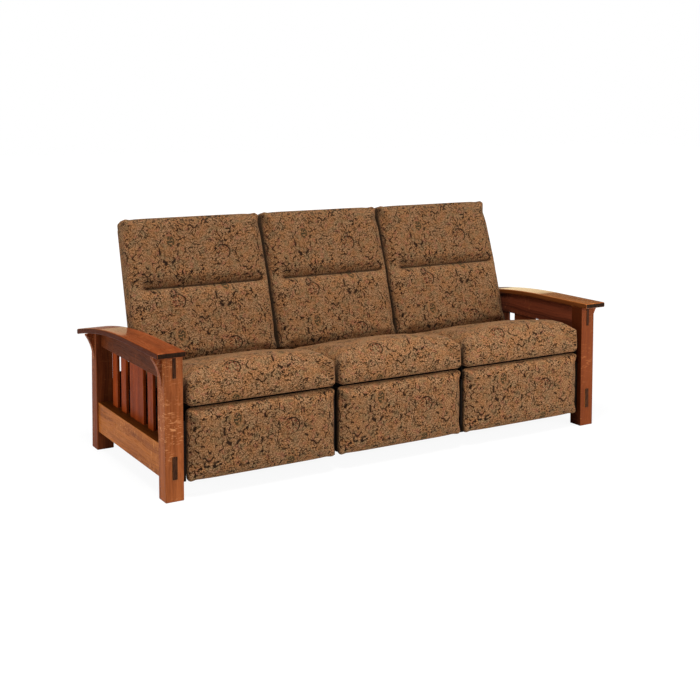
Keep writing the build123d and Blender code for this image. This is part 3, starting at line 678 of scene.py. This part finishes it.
# %% A box of quads with the cloth laid on it
def box_grid(cells):
    """Whole-number corners of a box's skin, its quads, and the side each quad is on."""
    places, quads, sides = {}, [], []
    for axis in range(3):
        u, v = (axis + 1) % 3, (axis + 2) % 3
        for end in (0, cells[axis]):
            for i in range(cells[u]):
                for j in range(cells[v]):
                    quad = []
                    for di, dj in ((0, 0), (1, 0), (1, 1), (0, 1)):
                        corner = [0, 0, 0]
                        corner[axis], corner[u], corner[v] = end, i + di, j + dj
                        quad.append(places.setdefault(tuple(corner), len(places)))
                    quads.append(quad if end else quad[::-1])
                    sides.append((axis, 1 if end else -1))
    return np.array(list(places), float), quads, sides


def laid_flat(box, low, high, side):
    """Cloth coordinates of a corner: the face's own, carried on round its edges."""
    across, along, out = box
    axis, end = side
    over = high[2] - out
    if axis == 0:
        return across + end * over, along
    if axis == 1:
        return across, along + end * over
    return across, along


def rounded(box, low, high, radius):
    """Move the corners of a box onto one with round edges."""
    middle = (low + high) / 2
    inner = np.clip(box, np.minimum(low + radius, middle), np.maximum(high - radius, middle))
    away = box - inner
    length = np.linalg.norm(away, axis=1, keepdims=True)
    reach = np.abs(away).max(axis=1, keepdims=True)
    return inner + away * np.where(length > 0, reach / np.maximum(length, 1e-9), 1)


def case(name, low, high, cell, radius, shift=(0.0, 0.0)):
    """A closed case of quads, its cloth map in metres, and its grid corners."""
    low, high = np.array(low, float), np.array(high, float)
    cells = np.maximum(2, np.round((high - low) / cell)).astype(int)
    grid, quads, sides = box_grid(cells)
    box = low + (high - low) * grid / cells
    mesh = bpy.data.meshes.new(name)
    mesh.from_pydata(rounded(box, low, high, radius).tolist(), [], quads)
    cloth_map = mesh.uv_layers.new(name="cloth")
    for polygon, side in zip(mesh.polygons, sides):
        for loop in polygon.loop_indices:
            u, v = laid_flat(box[mesh.loops[loop].vertex_index], low, high, side)
            cloth_map.data[loop].uv = (u + shift[0], v + shift[1])
    return put(name, mesh), grid, cells


def points_of(mesh):
    flat = np.empty(len(mesh.vertices) * 3)
    mesh.vertices.foreach_get("co", flat)
    return flat.reshape(-1, 3)


def put_points(mesh, points):
    mesh.vertices.foreach_set("co", np.ascontiguousarray(points, float).ravel())
    mesh.update()


# %% [markdown]
# The solver runs for twenty frames with no gravity. Pressure pushes the cloth out and
# its stiffness holds it back. Held corners stay where they are: the side that is glued to
# a board, and a channel that is sewn through. No point may move further than the cap.


# %% Fill a case with the cloth solver
def fill(piece, held, pressure, cap, shares=(1.0, 1.0, 1.0), stiffness=12.0):
    """Blow the case up and keep the result, with a cap and a share for each direction."""
    start = points_of(piece.data)
    group = piece.vertex_groups.new(name="held")
    for index in np.flatnonzero(held > 0):
        group.add([int(index)], float(held[index]), "REPLACE")
    solver = piece.modifiers.new("filling", "CLOTH")
    settings = solver.settings
    settings.quality = 5
    settings.mass = 0.25
    settings.tension_stiffness = settings.compression_stiffness = stiffness
    settings.shear_stiffness = stiffness / 2
    settings.bending_stiffness = 0.6
    settings.use_pressure = True
    settings.uniform_pressure_force = pressure
    settings.vertex_group_mass = "held"
    settings.effector_weights.gravity = 0.0
    solver.collision_settings.use_collision = False
    for step in range(1, 21):
        scene.frame_set(step)
    seen = piece.evaluated_get(bpy.context.evaluated_depsgraph_get())
    filled = points_of(seen.to_mesh())
    seen.to_mesh_clear()
    piece.modifiers.remove(solver)
    scene.frame_set(1)
    move = (filled - start) * np.array(shares)
    length = np.linalg.norm(move, axis=1, keepdims=True)
    put_points(piece.data, start + move * np.minimum(1, cap / np.maximum(length, 1e-9)))
    print(piece.name, "moved", round(float(length.max()) * 1000, 1), "mm at most, capped at",
          cap * 1000)


def made_real(piece):
    """Keep what the modifiers make as the piece's own mesh."""
    seen = piece.evaluated_get(bpy.context.evaluated_depsgraph_get())
    mesh = bpy.data.meshes.new_from_object(seen)
    piece.modifiers.clear()
    piece.vertex_groups.clear()
    piece.data = mesh


def subdivided(piece):
    """One level of subdivision."""
    smoother = piece.modifiers.new("smoother", "SUBSURF")
    smoother.levels = smoother.render_levels = 1
    made_real(piece)


def stretched_to(points, low, high, axes):
    """Stretch the filled shape so that it reaches the size that it has in CAD."""
    for axis in axes:
        least, most = points[:, axis].min(), points[:, axis].max()
        share = (points[:, axis] - least) / (most - least)
        points[:, axis] = low[axis] + share * (high[axis] - low[axis])
    return points


def soft_limit(values, limit, room):
    """Flatten what would pass a limit, as a cushion does against its neighbour."""
    size, free = np.abs(values), limit - room
    over = np.maximum(size - free, 0)
    return np.sign(values) * (np.minimum(size, free) + room * np.tanh(over / room))


def stood_up(points, origin, lean):
    """From across, along and out to the frame of the whole sofa."""
    sine, cosine = math.sin(lean), math.cos(lean)
    return np.array(origin) + points @ np.array(((1, 0, 0), (0, sine, cosine), (0, -cosine, sine)))


def cut_to_width(points, ends, flare=None):
    """Stretch a piece across to the two edges of its own seat, wider towards the bottom."""
    least, most = points[:, 0].min(), points[:, 0].max()
    share = (points[:, 0] - least) / (most - least)
    points[:, 0] = ends[0] + share * (ends[1] - ends[0])
    if flare:
        down = 1 - points[:, 1] / back_top
        points[:, 0] += down * (flare[0] + share * (flare[1] - flare[0]))
    return points


def corners_off(points, low, high, axes, radius):
    """Round a shape's outline, seen along the third direction."""
    middle, half = (low + high)[list(axes)] / 2, (high - low)[list(axes)] / 2
    from_middle = points[:, axes] - middle
    past = np.maximum(np.abs(from_middle) - (half - radius), 0)
    length = np.linalg.norm(past, axis=1)
    kept = np.where(length > 0, past.max(axis=1) / np.maximum(length, 1e-9), 1)[:, None]
    points[:, axes] = middle + np.sign(from_middle) * (np.abs(from_middle) - past * (1 - kept))
    return points


def rising(values, start, reach):
    """0 up to a start, then up to 1 over a reach."""
    return np.clip((values - start) / reach, 0, 1)


def in_shade(points, half, depth, below=1.0):
    """1 on the side faces of a cushion, behind its rounded front edges, for each side."""
    behind = rising(depth, 0, 0.014)
    sides = [rising(end * points[:, 0], half - 0.005, 0.004) for end in (-1, 1)]
    return [side * behind * below for side in sides]


def rumpled(points, base, reach, size, amount, seed):
    """Slow unevenness of foam under cloth, other for each seat, inwards and none at the base."""
    offset = Vector((seed * 7.3, seed * 3.1, seed * 5.7))
    uneven = np.array([amount * noise.noise(Vector(p) / size + offset) for p in points])
    points = points.copy()
    points[:, 2] += rising(points[:, 2], base, reach) * np.minimum(uneven, 0)
    return points


def dressed(piece, finish, body, replaced=None, smooth=False):
    """Give a piece its finish, its body and the CAD node that it stands for."""
    piece.data.materials.clear()
    piece.data.materials.append(finish)
    piece.data.polygons.foreach_set("use_smooth", [smooth] * len(piece.data.polygons))
    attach(piece, body)
    if replaced:
        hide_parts(replaced)


def make_piece(name, mesh, points, body, node, dark):
    """A filled cushion at its seat, riding on its body in place of its CAD node."""
    piece = put(name, mesh.copy())
    piece.data.name = name
    put_points(piece.data, points)
    # the painted shade, one value for each corner
    piece.data.attributes.new("painted_shade", "FLOAT", "POINT").data.foreach_set("value", dark)
    dressed(piece, tapestry_cloth, body, node, smooth=True)


# %% [markdown]
# ## Sizes of the soft pieces
# Every soft piece keeps to the room of its CAD node. The boxes come from the frame, and the
# tilting back's place comes from its hinge.

# %% Read the rooms from the frame
middle_x = {seat: sum(v.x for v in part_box(seat + "_seat_cushion")) / 2 for seat in seats}
seat_low, seat_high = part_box("middle_seat_cushion")
pad_low, pad_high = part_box("middle_footrest_pad")
back_lean = math.radians(17.5)
hinge = joints["middle_back_recline"]["pos_m"]
back_start, back_length = 0.038, 0.622
back_top = back_start + back_length
back_rear, back_depth, back_crown = 0.0204, 0.066, 0.032
back_seam = 0.353
back_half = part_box("middle_back_cushion")[1].x
# the two edges of each soft piece, from its seat's centre
seat_ends = {"left": (-0.3105, 0.3215), "middle": (-0.300, 0.300), "right": (-0.3215, 0.3105)}
back_ends = {"left": (-0.302, 0.3285), "middle": (-0.293, 0.305), "right": (-0.3165, 0.302)}
back_flare = {"left": (-0.010, 0.003), "middle": (0.003, 0.004), "right": (0.0045, 0.010)}
print("seat half", round(seat_high.x, 4), "back half", round(back_half, 4))

# %% [markdown]
# ## Seat cushion
# The seat is a thick foam block under one piece of cloth that runs from the seat frame,
# up the front and over the top to the back. Side panels close it. The bottom lies flat on
# the webbing, and the front lower edge is rounded. The crown is highest near the front, and
# falls a long way to the back, where the foam is thinner and the sitter's weight rests.

# %% Seat cushions
cell, shade_depth = 0.0115, 0.9
back_fall, side_fall = 0.088, 0.015
seat_box_low = np.array((-seat_high.x, seat_low.y, seat_low.z))
seat_box_high = np.array((seat_high.x, seat_high.y, seat_high.z))
seat_case, grid, _ = case("seat_case", seat_box_low + (0.010, 0.010, 0.0),
                          seat_box_high - (0.010, 0.006, 0.026), cell, radius=0.016,
                          shift=(0.0, 0.02))
fill(seat_case, (grid[:, 2] == 0) * 1.0, pressure=4.0, cap=0.030, shares=(0.35, 0.7, 1.0))
subdivided(seat_case)
past_side = np.array((0.004, 0, 0))
points = points_of(seat_case.data)
points = stretched_to(points, seat_box_low - past_side, seat_box_high + past_side, (0, 1))
points[:, 0] = soft_limit(points[:, 0], seat_high.x, room=0.006)
points[:, 2] = np.maximum(points[:, 2], seat_low.z)
points = stretched_to(points, seat_box_low, seat_box_high, (2,))
points = corners_off(points, seat_box_low, seat_box_high, (0, 2), radius=0.020)
points = corners_off(points, seat_box_low, seat_box_high, (0, 1), radius=0.016)
seat_shade = in_shade(points, seat_high.x, points[:, 1] - seat_low.y - 0.014,
                      rising(seat_high.z - 0.024 - points[:, 2], 0, 0.016))
# the top falls towards the back and, past the middle, to both sides
depth_in = rising(points[:, 1], seat_low.y + 0.11, 0.40)
to_side = rising(np.abs(points[:, 0]) / seat_high.x, 0.30, 0.45)
to_side = to_side ** 2 * (3 - 2 * to_side)
fall = back_fall * depth_in ** 1.32 + side_fall * to_side * (1 - 0.6 * depth_in)
points[:, 2] -= fall * (points[:, 2] - seat_low.z) / (seat_high.z - seat_low.z)
for number, seat in enumerate(seats):
    placed = rumpled(points, seat_low.z, 0.05, size=0.13, amount=0.003, seed=number + 1)
    placed = cut_to_width(placed, seat_ends[seat])
    placed[:, 0] += middle_x[seat]
    make_piece(seat + "_seat_pillow", seat_case.data, placed, "root", seat + "_seat_cushion",
               shade_depth * np.maximum(*seat_shade))
print("seat cushion faces:", len(seat_case.data.polygons))

# %% [markdown]
# ## Back cushion
# The back has two pillows in one case: a lower one for the small of the back and an upper
# one for the shoulders and head. A channel is sewn through to the board between them. It
# stops short of the sides, so the cloth gathers in small folds at its ends. In the solver
# the channel's corners are held, and the pressure forms both pillows round them.

# %% Back cushions
back_box_low = np.array((-back_half, back_start, back_rear))
back_box_high = np.array((back_half, back_top, back_rear + back_depth + back_crown))
start_low, start_high = back_box_low + (0.008, 0.006, 0.0), back_box_high - (0.008, 0.006, 0.012)
back_case, grid, cells = case("back_case", start_low, start_high, cell, radius=0.014,
                              shift=(0.0, 0.10))
# the channel is a row of the case's corners, sunk and held, with the next rows drawn to it
channel_half, channel_middle = 0.262, 0.016
at_front = grid[:, 2] == cells[2]
seam_share = (back_seam - start_low[1]) / (start_high[1] - start_low[1])
seam_row = round(seam_share * cells[1])
sunk = points_of(back_case.data)
across = np.abs(sunk[:, 0] - channel_middle)
rows_off = grid[:, 1] - seam_row
in_channel = at_front & (rows_off == 0) & (across < channel_half)
sunk[in_channel, 2] -= 0.020
near_channel = at_front & (np.abs(rows_off) == 1) & (across < channel_half + 0.012)
sunk[near_channel, 1] -= np.sign(rows_off[near_channel]) * 0.0065
sunk[near_channel, 2] -= 0.004
put_points(back_case.data, sunk)
held = np.maximum((grid[:, 2] == 0) * 1.0, in_channel * 1.0)
fill(back_case, held, pressure=4.0, cap=0.015, shares=(0.2, 0.3, 1.0))
subdivided(back_case)
past_side = np.array((0.003, 0, 0))
points = points_of(back_case.data)
points = stretched_to(points, back_box_low - past_side, back_box_high + past_side, (0, 1, 2))
points[:, 0] = soft_limit(points[:, 0], back_half, room=0.005)
points = corners_off(points, back_box_low, back_box_high, (0, 1), radius=0.018)
back_shade = in_shade(points, back_half, back_box_high[2] - 0.030 - points[:, 2])
# a groove, small folds across it, and a gather round each end
from_seam = points[:, 1] - back_start - seam_row / cells[1] * back_length
facing = rising(points[:, 2], 0.06, 0.02)
past_end = np.abs(points[:, 0] - channel_middle) - channel_half
inside = rising(0.012 - past_end, 0, 0.03)
groove = np.exp(-(from_seam / 0.004) ** 2) * 0.008 + np.exp(-np.abs(from_seam) / 0.016) * 0.003
folds = np.sin(points[:, 0] * 260 + 3 * np.sin(points[:, 0] * 31)) \
    * np.exp(-np.abs(from_seam) / 0.012) * 0.0009
gather = np.sin(np.arctan2(from_seam, past_end + 0.004) * 9) * np.exp(-(from_seam / 0.03) ** 2) \
    * np.exp(-(past_end / 0.022) ** 2) * 0.0028
points[:, 2] += facing * (inside * (folds - groove) + gather)
channel_rows = np.flatnonzero((np.abs(from_seam) < 0.002) & (facing > 0.3) & (inside >= 1))
# painted shade: the crease and its ends are darkened, and the whole back a little, more above the
# channel
crease = inside * np.exp(-(from_seam / 0.0035) ** 2)
pucker = np.exp(-(past_end / 0.016) ** 2 - (from_seam / 0.011) ** 2)
pucker *= 0.6 + 0.4 * np.sin(from_seam * 900)
painted_crease_shade = np.clip(facing * np.maximum(crease, pucker), 0, 1) * 0.92
painted_back_shade = 0.15 + 0.07 * rising(from_seam, 0, 0.10)
next_to = {"left": back_shade[1], "middle": np.maximum(*back_shade), "right": back_shade[0]}
for number, seat in enumerate(seats):
    placed = rumpled(points, back_rear, 0.04, size=0.15, amount=0.003, seed=number + 11)
    placed = cut_to_width(placed, back_ends[seat], back_flare[seat])
    placed = stood_up(placed, (middle_x[seat], hinge[1], hinge[2]), back_lean)
    darkened = np.maximum(np.maximum(painted_crease_shade, shade_depth * next_to[seat]), painted_back_shade)
    make_piece(seat + "_back_pillow", back_case.data, placed, seat + "_back",
               seat + "_back_cushion", darkened)
print("back cushion faces:", len(back_case.data.polygons))

# %% [markdown]
# ## Footrest pad
# The footrest is a thin foam pad over a board. Its cloth is pulled tight round the edges,
# so it is nearly flat, with soft corners. The same recipe makes it, with less pressure.

# %% Footrest pads
pad_box_low = np.array((-pad_high.x, 0.0, 0.0))
pad_box_high = np.array((pad_high.x, pad_high.z - pad_low.z, pad_high.y - pad_low.y))
pad_case, grid, _ = case("pad_case", pad_box_low + (0.005, 0.005, 0.0),
                         pad_box_high - (0.005, 0.005, 0.010), cell=0.0095, radius=0.014,
                         shift=(0.0, 0.035))
fill(pad_case, (grid[:, 2] == 0) * 1.0, pressure=2.5, cap=0.012, shares=(0.3, 0.3, 1.0))
subdivided(pad_case)
points = stretched_to(points_of(pad_case.data), pad_box_low, pad_box_high, (0, 1, 2))
points = corners_off(points, pad_box_low, pad_box_high, (0, 1), radius=0.010)
pad_shade = in_shade(points, pad_high.x, pad_box_high[2] - 0.012 - points[:, 2])
for number, seat in enumerate(seats):
    placed = rumpled(points, 0, 0.03, size=0.12, amount=0.002, seed=number + 21)
    placed = cut_to_width(placed, seat_ends[seat])
    placed = stood_up(placed, (middle_x[seat], pad_high.y, pad_low.z), 0.0)
    make_piece(seat + "_footrest_face", pad_case.data, placed, seat + "_footrest",
               seat + "_footrest_pad", shade_depth * np.maximum(*pad_shade))
print("footrest pad faces:", len(pad_case.data.polygons))

for rough in (seat_case, back_case, pad_case):
    bpy.data.objects.remove(rough)

# %% [markdown]
# ## Outside back
# From behind, each back is a flat cloth panel over a board. It replaces the bare board and
# reaches out over the steel brackets to the edge of the cushion.

# %% Outside backs
cover_start, cover_end, swell_out = 0.022, 0.634, 0.0022
cover_half, inset, coarse = back_half - 0.003, 0.006, 0.0125
for seat in seats:
    cover, _, _ = case(seat + "_outside_back", (-cover_half, cover_start, 0.0),
                       (cover_half, cover_end, back_rear), coarse, radius=0.006)
    points = points_of(cover.data)
    up = 2 * (points[:, 1] - cover_start) / (cover_end - cover_start) - 1
    round_off = (1 - (points[:, 0] / cover_half) ** 6) * (1 - up ** 6)
    points[:, 2] -= rising(0.012 - points[:, 2], 0, 0.012) * np.clip(round_off, 0, 1) * swell_out
    left_end, right_end = back_ends[seat]
    points = cut_to_width(points, (left_end + inset, right_end - inset), back_flare[seat])
    put_points(cover.data, stood_up(points, (middle_x[seat], hinge[1], hinge[2]), back_lean))
    subdivided(cover)
    dressed(cover, tapestry_cloth, seat + "_back", seat + "_back_board", smooth=True)
print("outside backs:", len(seats))

# %% [markdown]
# ## Seat decks
# A low padded deck runs from each seat back under the tilting back. It covers the webbing,
# which would show when the back leans away.

# %% Seat decks
deck_front, deck_rear = seat_high.y - 0.006, hinge[1] - 0.016
back_bottom = hinge[2] + back_start * math.cos(back_lean) + back_rear * math.sin(back_lean)
for seat in seats:
    deck, _, _ = case(seat + "_seat_deck", (-seat_high.x, deck_front, seat_low.z),
                      (seat_high.x, deck_rear, back_bottom - 0.002), coarse, radius=0.008)
    subdivided(deck)
    points = cut_to_width(points_of(deck.data), seat_ends[seat])
    points[:, 0] += middle_x[seat]
    put_points(deck.data, points)
    dressed(deck, tapestry_cloth, "root", smooth=True)
print("seat decks:", len(seats))

# %% [markdown]
# ## Felt under the cushions
# A strip of black felt stands on every bay board. It closes the slot below the cushions,
# so no light shows through and nothing falls into the linkage. Its black is painted shade:
# it stands in for the deep shade in the slot.

# %% Felt strips
# painted shade: the felt's black stands in for the deep shade in the slots
felt, w, shader = material("black_felt_as_shade", Base_Color=colour(0.008, 0.007, 0.006), Roughness=1.0,
                           Specular_IOR_Level=0.0)
board_low, board_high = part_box("bay_boards")
felt_top = seat_low.z - 0.001
felt_start, felt_end = board_low.y + 0.004, seat_high.y + 0.20
felt_half, sunk_in = 0.004, 0.002
bay_half = (board_high.x - board_low.x) / 2 - 0.009
for number in range(4):
    across = -bay_half + number * 2 * bay_half / 3
    strip, _, _ = case("felt_strip_" + str(number + 1),
                       (across - felt_half, felt_start, board_high.z - sunk_in),
                       (across + felt_half, felt_end, felt_top), cell=0.02, radius=0.003)
    dressed(strip, felt, "root")
print("felt strips on the bay boards:", 4)

# %% [markdown]
# A black dust cloth hangs behind each linkage. It is stapled to the rear stretcher and
# stops below the tilting back. Its black is partly the cloth's own and partly painted shade
# behind the linkage.

# %% Dust cloths
rail_low, rail_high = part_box("rear_rail")
cloth_half = bay_half / 3 - 0.025
cloth_top = seat_low.z + 0.032
cloth_front, cloth_rear = rail_high.y + 0.001, rail_high.y + 0.003
for seat in seats:
    middle = middle_x[seat]
    sheet, _, _ = case(seat + "_dust_cloth", (middle - cloth_half, cloth_front, rail_low.z),
                       (middle + cloth_half, cloth_rear, cloth_top), cell=0.04, radius=0.001)
    dressed(sheet, felt, "root")
print("dust cloths:", len(seats), "wide:", round(2 * cloth_half, 3), "high:",
      round(cloth_top - rail_low.z, 3))

# %% [markdown]
# ## Stitches and staples
# A row of small rods follows a path: thread stitches along the sewn channel of a back, and
# staples where a dust cloth crosses the rear rail. One Geometry Nodes tree makes both. It
# walks the path in even steps, lays a rod on each step, and turns each one a little, from a
# fixed seed. The result is kept as one plain mesh for each seat.

# %% Geometry Nodes: a row of rods along a path
rod_sides = 6
rod_faces = rod_sides + 2
rods_tree = bpy.data.node_groups.new("row of rods", "GeometryNodeTree")
rods_tree.is_modifier = True
for label, kind, value in (("Path", "Geometry", None), ("Step", "Float", 0.006),
                           ("Rod Length", "Float", 0.004), ("Rod Width", "Float", 0.0008),
                           ("Unevenness", "Float", 0.1), ("Seed", "Int", 3),
                           ("Finish", "Material", None)):
    socket = rods_tree.interface.new_socket(name=label, in_out="INPUT",
                                            socket_type="NodeSocket" + kind)
    if value is not None:
        socket.default_value = value
rods_tree.interface.new_socket(name="Rods", in_out="OUTPUT", socket_type="NodeSocketGeometry")
w = Wiring(rods_tree)
taken = w.node("NodeGroupInput").outputs
curve = w.node("GeometryNodeMeshToCurve", {"Mesh": taken["Path"]}).outputs["Curve"]
steps = w.node("GeometryNodeResampleCurve", {"Curve": curve, "Length": taken["Step"]},
               mode="LENGTH").outputs["Curve"]
rod = w.node("GeometryNodeMeshCylinder", {"Vertices": rod_sides, "Depth": taken["Rod Length"],
                                          "Radius": w.times(taken["Rod Width"], 0.5)})
tangent = w.node("GeometryNodeInputTangent").outputs["Tangent"]
on_path = w.node("FunctionNodeAlignRotationToVector", {"Vector": tangent}, axis="Z").outputs[0]
tilt = w.node("FunctionNodeRandomValue", {"Seed": taken["Seed"]}, data_type="FLOAT_VECTOR")
spread = w.joined(taken["Unevenness"], taken["Unevenness"], taken["Unevenness"])
w.feed(tilt.inputs[0], w.vector("SCALE", spread, scale=-1.0))
w.feed(tilt.inputs[1], spread)
turned = w.node("FunctionNodeRotateRotation", {"Rotation": on_path, "Rotate By": tilt.outputs[0]},
                rotation_space="LOCAL").outputs[0]
placed = w.node("GeometryNodeInstanceOnPoints", {"Points": steps, "Instance": rod.outputs["Mesh"],
                                                 "Rotation": turned}).outputs[0]
real = w.node("GeometryNodeRealizeInstances", {"Geometry": placed}).outputs[0]
finished = w.node("GeometryNodeSetMaterial", {"Geometry": real, "Material": taken["Finish"]})
w.feed(w.node("NodeGroupOutput").inputs["Rods"], finished.outputs["Geometry"])

# %% [markdown]
# The stitches take their path from the corners at the bottom of the finished channel, so
# they lie on the cloth. The staples stand in two rows, near the rail's lower and upper edge.


# %% Rows of stitches and staples
def row_of_rods(name, paths, body, sizes):
    """One mesh of rods along open paths, riding on its body."""
    points, edges = [], []
    for path in paths:
        edges += [(len(points) + i, len(points) + i + 1) for i in range(len(path) - 1)]
        points += [tuple(point) for point in path]
    mesh = bpy.data.meshes.new(name)
    mesh.from_pydata(points, edges, [])
    carrier = put(name, mesh)
    maker = carrier.modifiers.new("rods", "NODES")
    maker.node_group = rods_tree
    for item in rods_tree.interface.items_tree:
        if item.in_out == "INPUT" and item.name in sizes:
            maker[item.identifier] = sizes[item.name]
    carrier.update_tag()
    made_real(carrier)
    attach(carrier, body)
    return len(carrier.data.polygons) // rod_faces


out_of_back = np.array((0.0, -math.cos(back_lean), math.sin(back_lean)))
edge_x, staple_y = cloth_half - 0.010, cloth_rear + 0.0003
levels = (rail_low.z + 0.012, rail_high.z - 0.012)
stitches = staples = 0
for seat in seats:
    skin = points_of(bpy.data.objects[seat + "_back_pillow"].data)[channel_rows]
    skin = skin[np.argsort(skin[:, 0])] + out_of_back * 0.0007
    stitches += row_of_rods(
        seat + "_channel_stitches", [skin], seat + "_back",
        {"Step": 0.007, "Rod Length": 0.0048, "Rod Width": 0.0011, "Finish": thread})
for seat in seats:
    paths = [[(middle_x[seat] + x, staple_y, level) for x in np.linspace(-edge_x, edge_x, 9)]
             for level in levels]
    staples += row_of_rods(
        seat + "_staples", paths, "root",
        {"Step": 0.045, "Rod Length": 0.010, "Rod Width": 0.0012, "Unevenness": 0.25,
         "Finish": zinc})
print("stitches:", stitches, "staples:", staples)

# %% [markdown]
# ## Floor and light
# A pale floor runs under the sofa and out of sight. Light comes from a large soft lamp high
# at the front left, a weaker one at the right, a small one low at the left, and the room
# itself. The floor and the room show white to the camera, but the floor is grey under the
# seats, in their shade. Reflections see a warm band low in the room and little above it,
# because a lacquered arm mirrors the low part of a studio.

# %% Stage and lamps
floor_mesh = bpy.data.meshes.new("floor")
floor_reach = 30.0
floor_mesh.from_pydata([(x * floor_reach, y * floor_reach, 0)
                        for x, y in ((-1, -1), (1, -1), (1, 1), (-1, 1))], [], [(0, 1, 2, 3)])
floor = put("floor", floor_mesh)
floor_paint, w, shader = material("pale_floor", Base_Color=colour(0.55, 0.55, 0.55), Roughness=0.9)
seen = w.node("ShaderNodeLightPath").outputs["Is Camera Ray"]
glow = w.node("ShaderNodeEmission", {"Color": colour(1, 1, 1), "Strength": 1.1})
blend = w.node("ShaderNodeMixShader")
on_floor = w.own_place()
floor_x, floor_y, _ = w.parts(on_floor)
under = w.times(w.ramp(w.math("ABSOLUTE", floor_x), 0.80, 0.86, 1.0, 0.0),
                w.times(w.ramp(floor_y, -0.12, -0.02), w.ramp(floor_y, 0.38, 0.46, 1.0, 0.0)))
share = w.ramp(w.vector("LENGTH", on_floor), 1.6, 6.0, 0.84, 1.0)
w.feed(blend.inputs[0], w.times(seen, w.times(share, w.minus(1.0, under))))
w.feed(blend.inputs[1], shader.outputs[0])
w.feed(blend.inputs[2], glow.outputs[0])
w.feed(w.tree.nodes["Material Output"].inputs["Surface"], blend.outputs[0])
floor_mesh.materials.append(floor_paint)
floor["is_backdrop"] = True

world = bpy.data.worlds.new("white room")
scene.world = world
world.use_nodes = True
w = Wiring(world.node_tree)
ray = w.node("ShaderNodeLightPath").outputs
_, _, rise = w.parts(w.node("ShaderNodeTexCoord").outputs["Generated"])
glossy = w.times(ray["Is Glossy Ray"], w.ramp(rise, 0.13, 0.16, 1.25, -0.3))
shown = w.plus(ray["Is Camera Ray"], glossy)
room, room_light = w.tree.nodes["Background"], 0.27
w.feed(room.inputs["Color"], w.mix(ray["Is Glossy Ray"], colour(1, 1, 1), colour(1.0, 0.85, 0.52)))
w.feed(room.inputs["Strength"], w.plus(room_light, w.times(shown, 1 - room_light)))


def lamp(name, place, aim, size, power):
    made = put(name, bpy.data.lights.new(name, "AREA"))
    made.data.size = size
    made.data.energy = power
    made.location = place
    made.rotation_euler = (Vector(aim) - Vector(place)).to_track_quat("-Z", "Y").to_euler()


lamp("key lamp", (-1.4, -1.7, 6.0), (0, 0, 0.4), 2.2, 400)
lamp("fill lamp", (2.8, -4.5, 1.7), (0, 0, 0.3), 2.2, 185)
lamp("side lamp", (-4.2, 0.3, 0.9), (0, 0, 0.5), 1.0, 56)
print("stage and lamps set")

# %% [markdown]
# ## The size of the dressed sofa
# Its box is printed beside the box that CAD gives it.

# %% Print the two boxes
seen_low, seen_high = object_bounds()
boxes = {"cad": [list(cad_low), list(cad_high)], "visual": [list(seen_low), list(seen_high)]}
for name, (low, high) in boxes.items():
    print(name, "box:", [round(value, 4) for value in low + high])
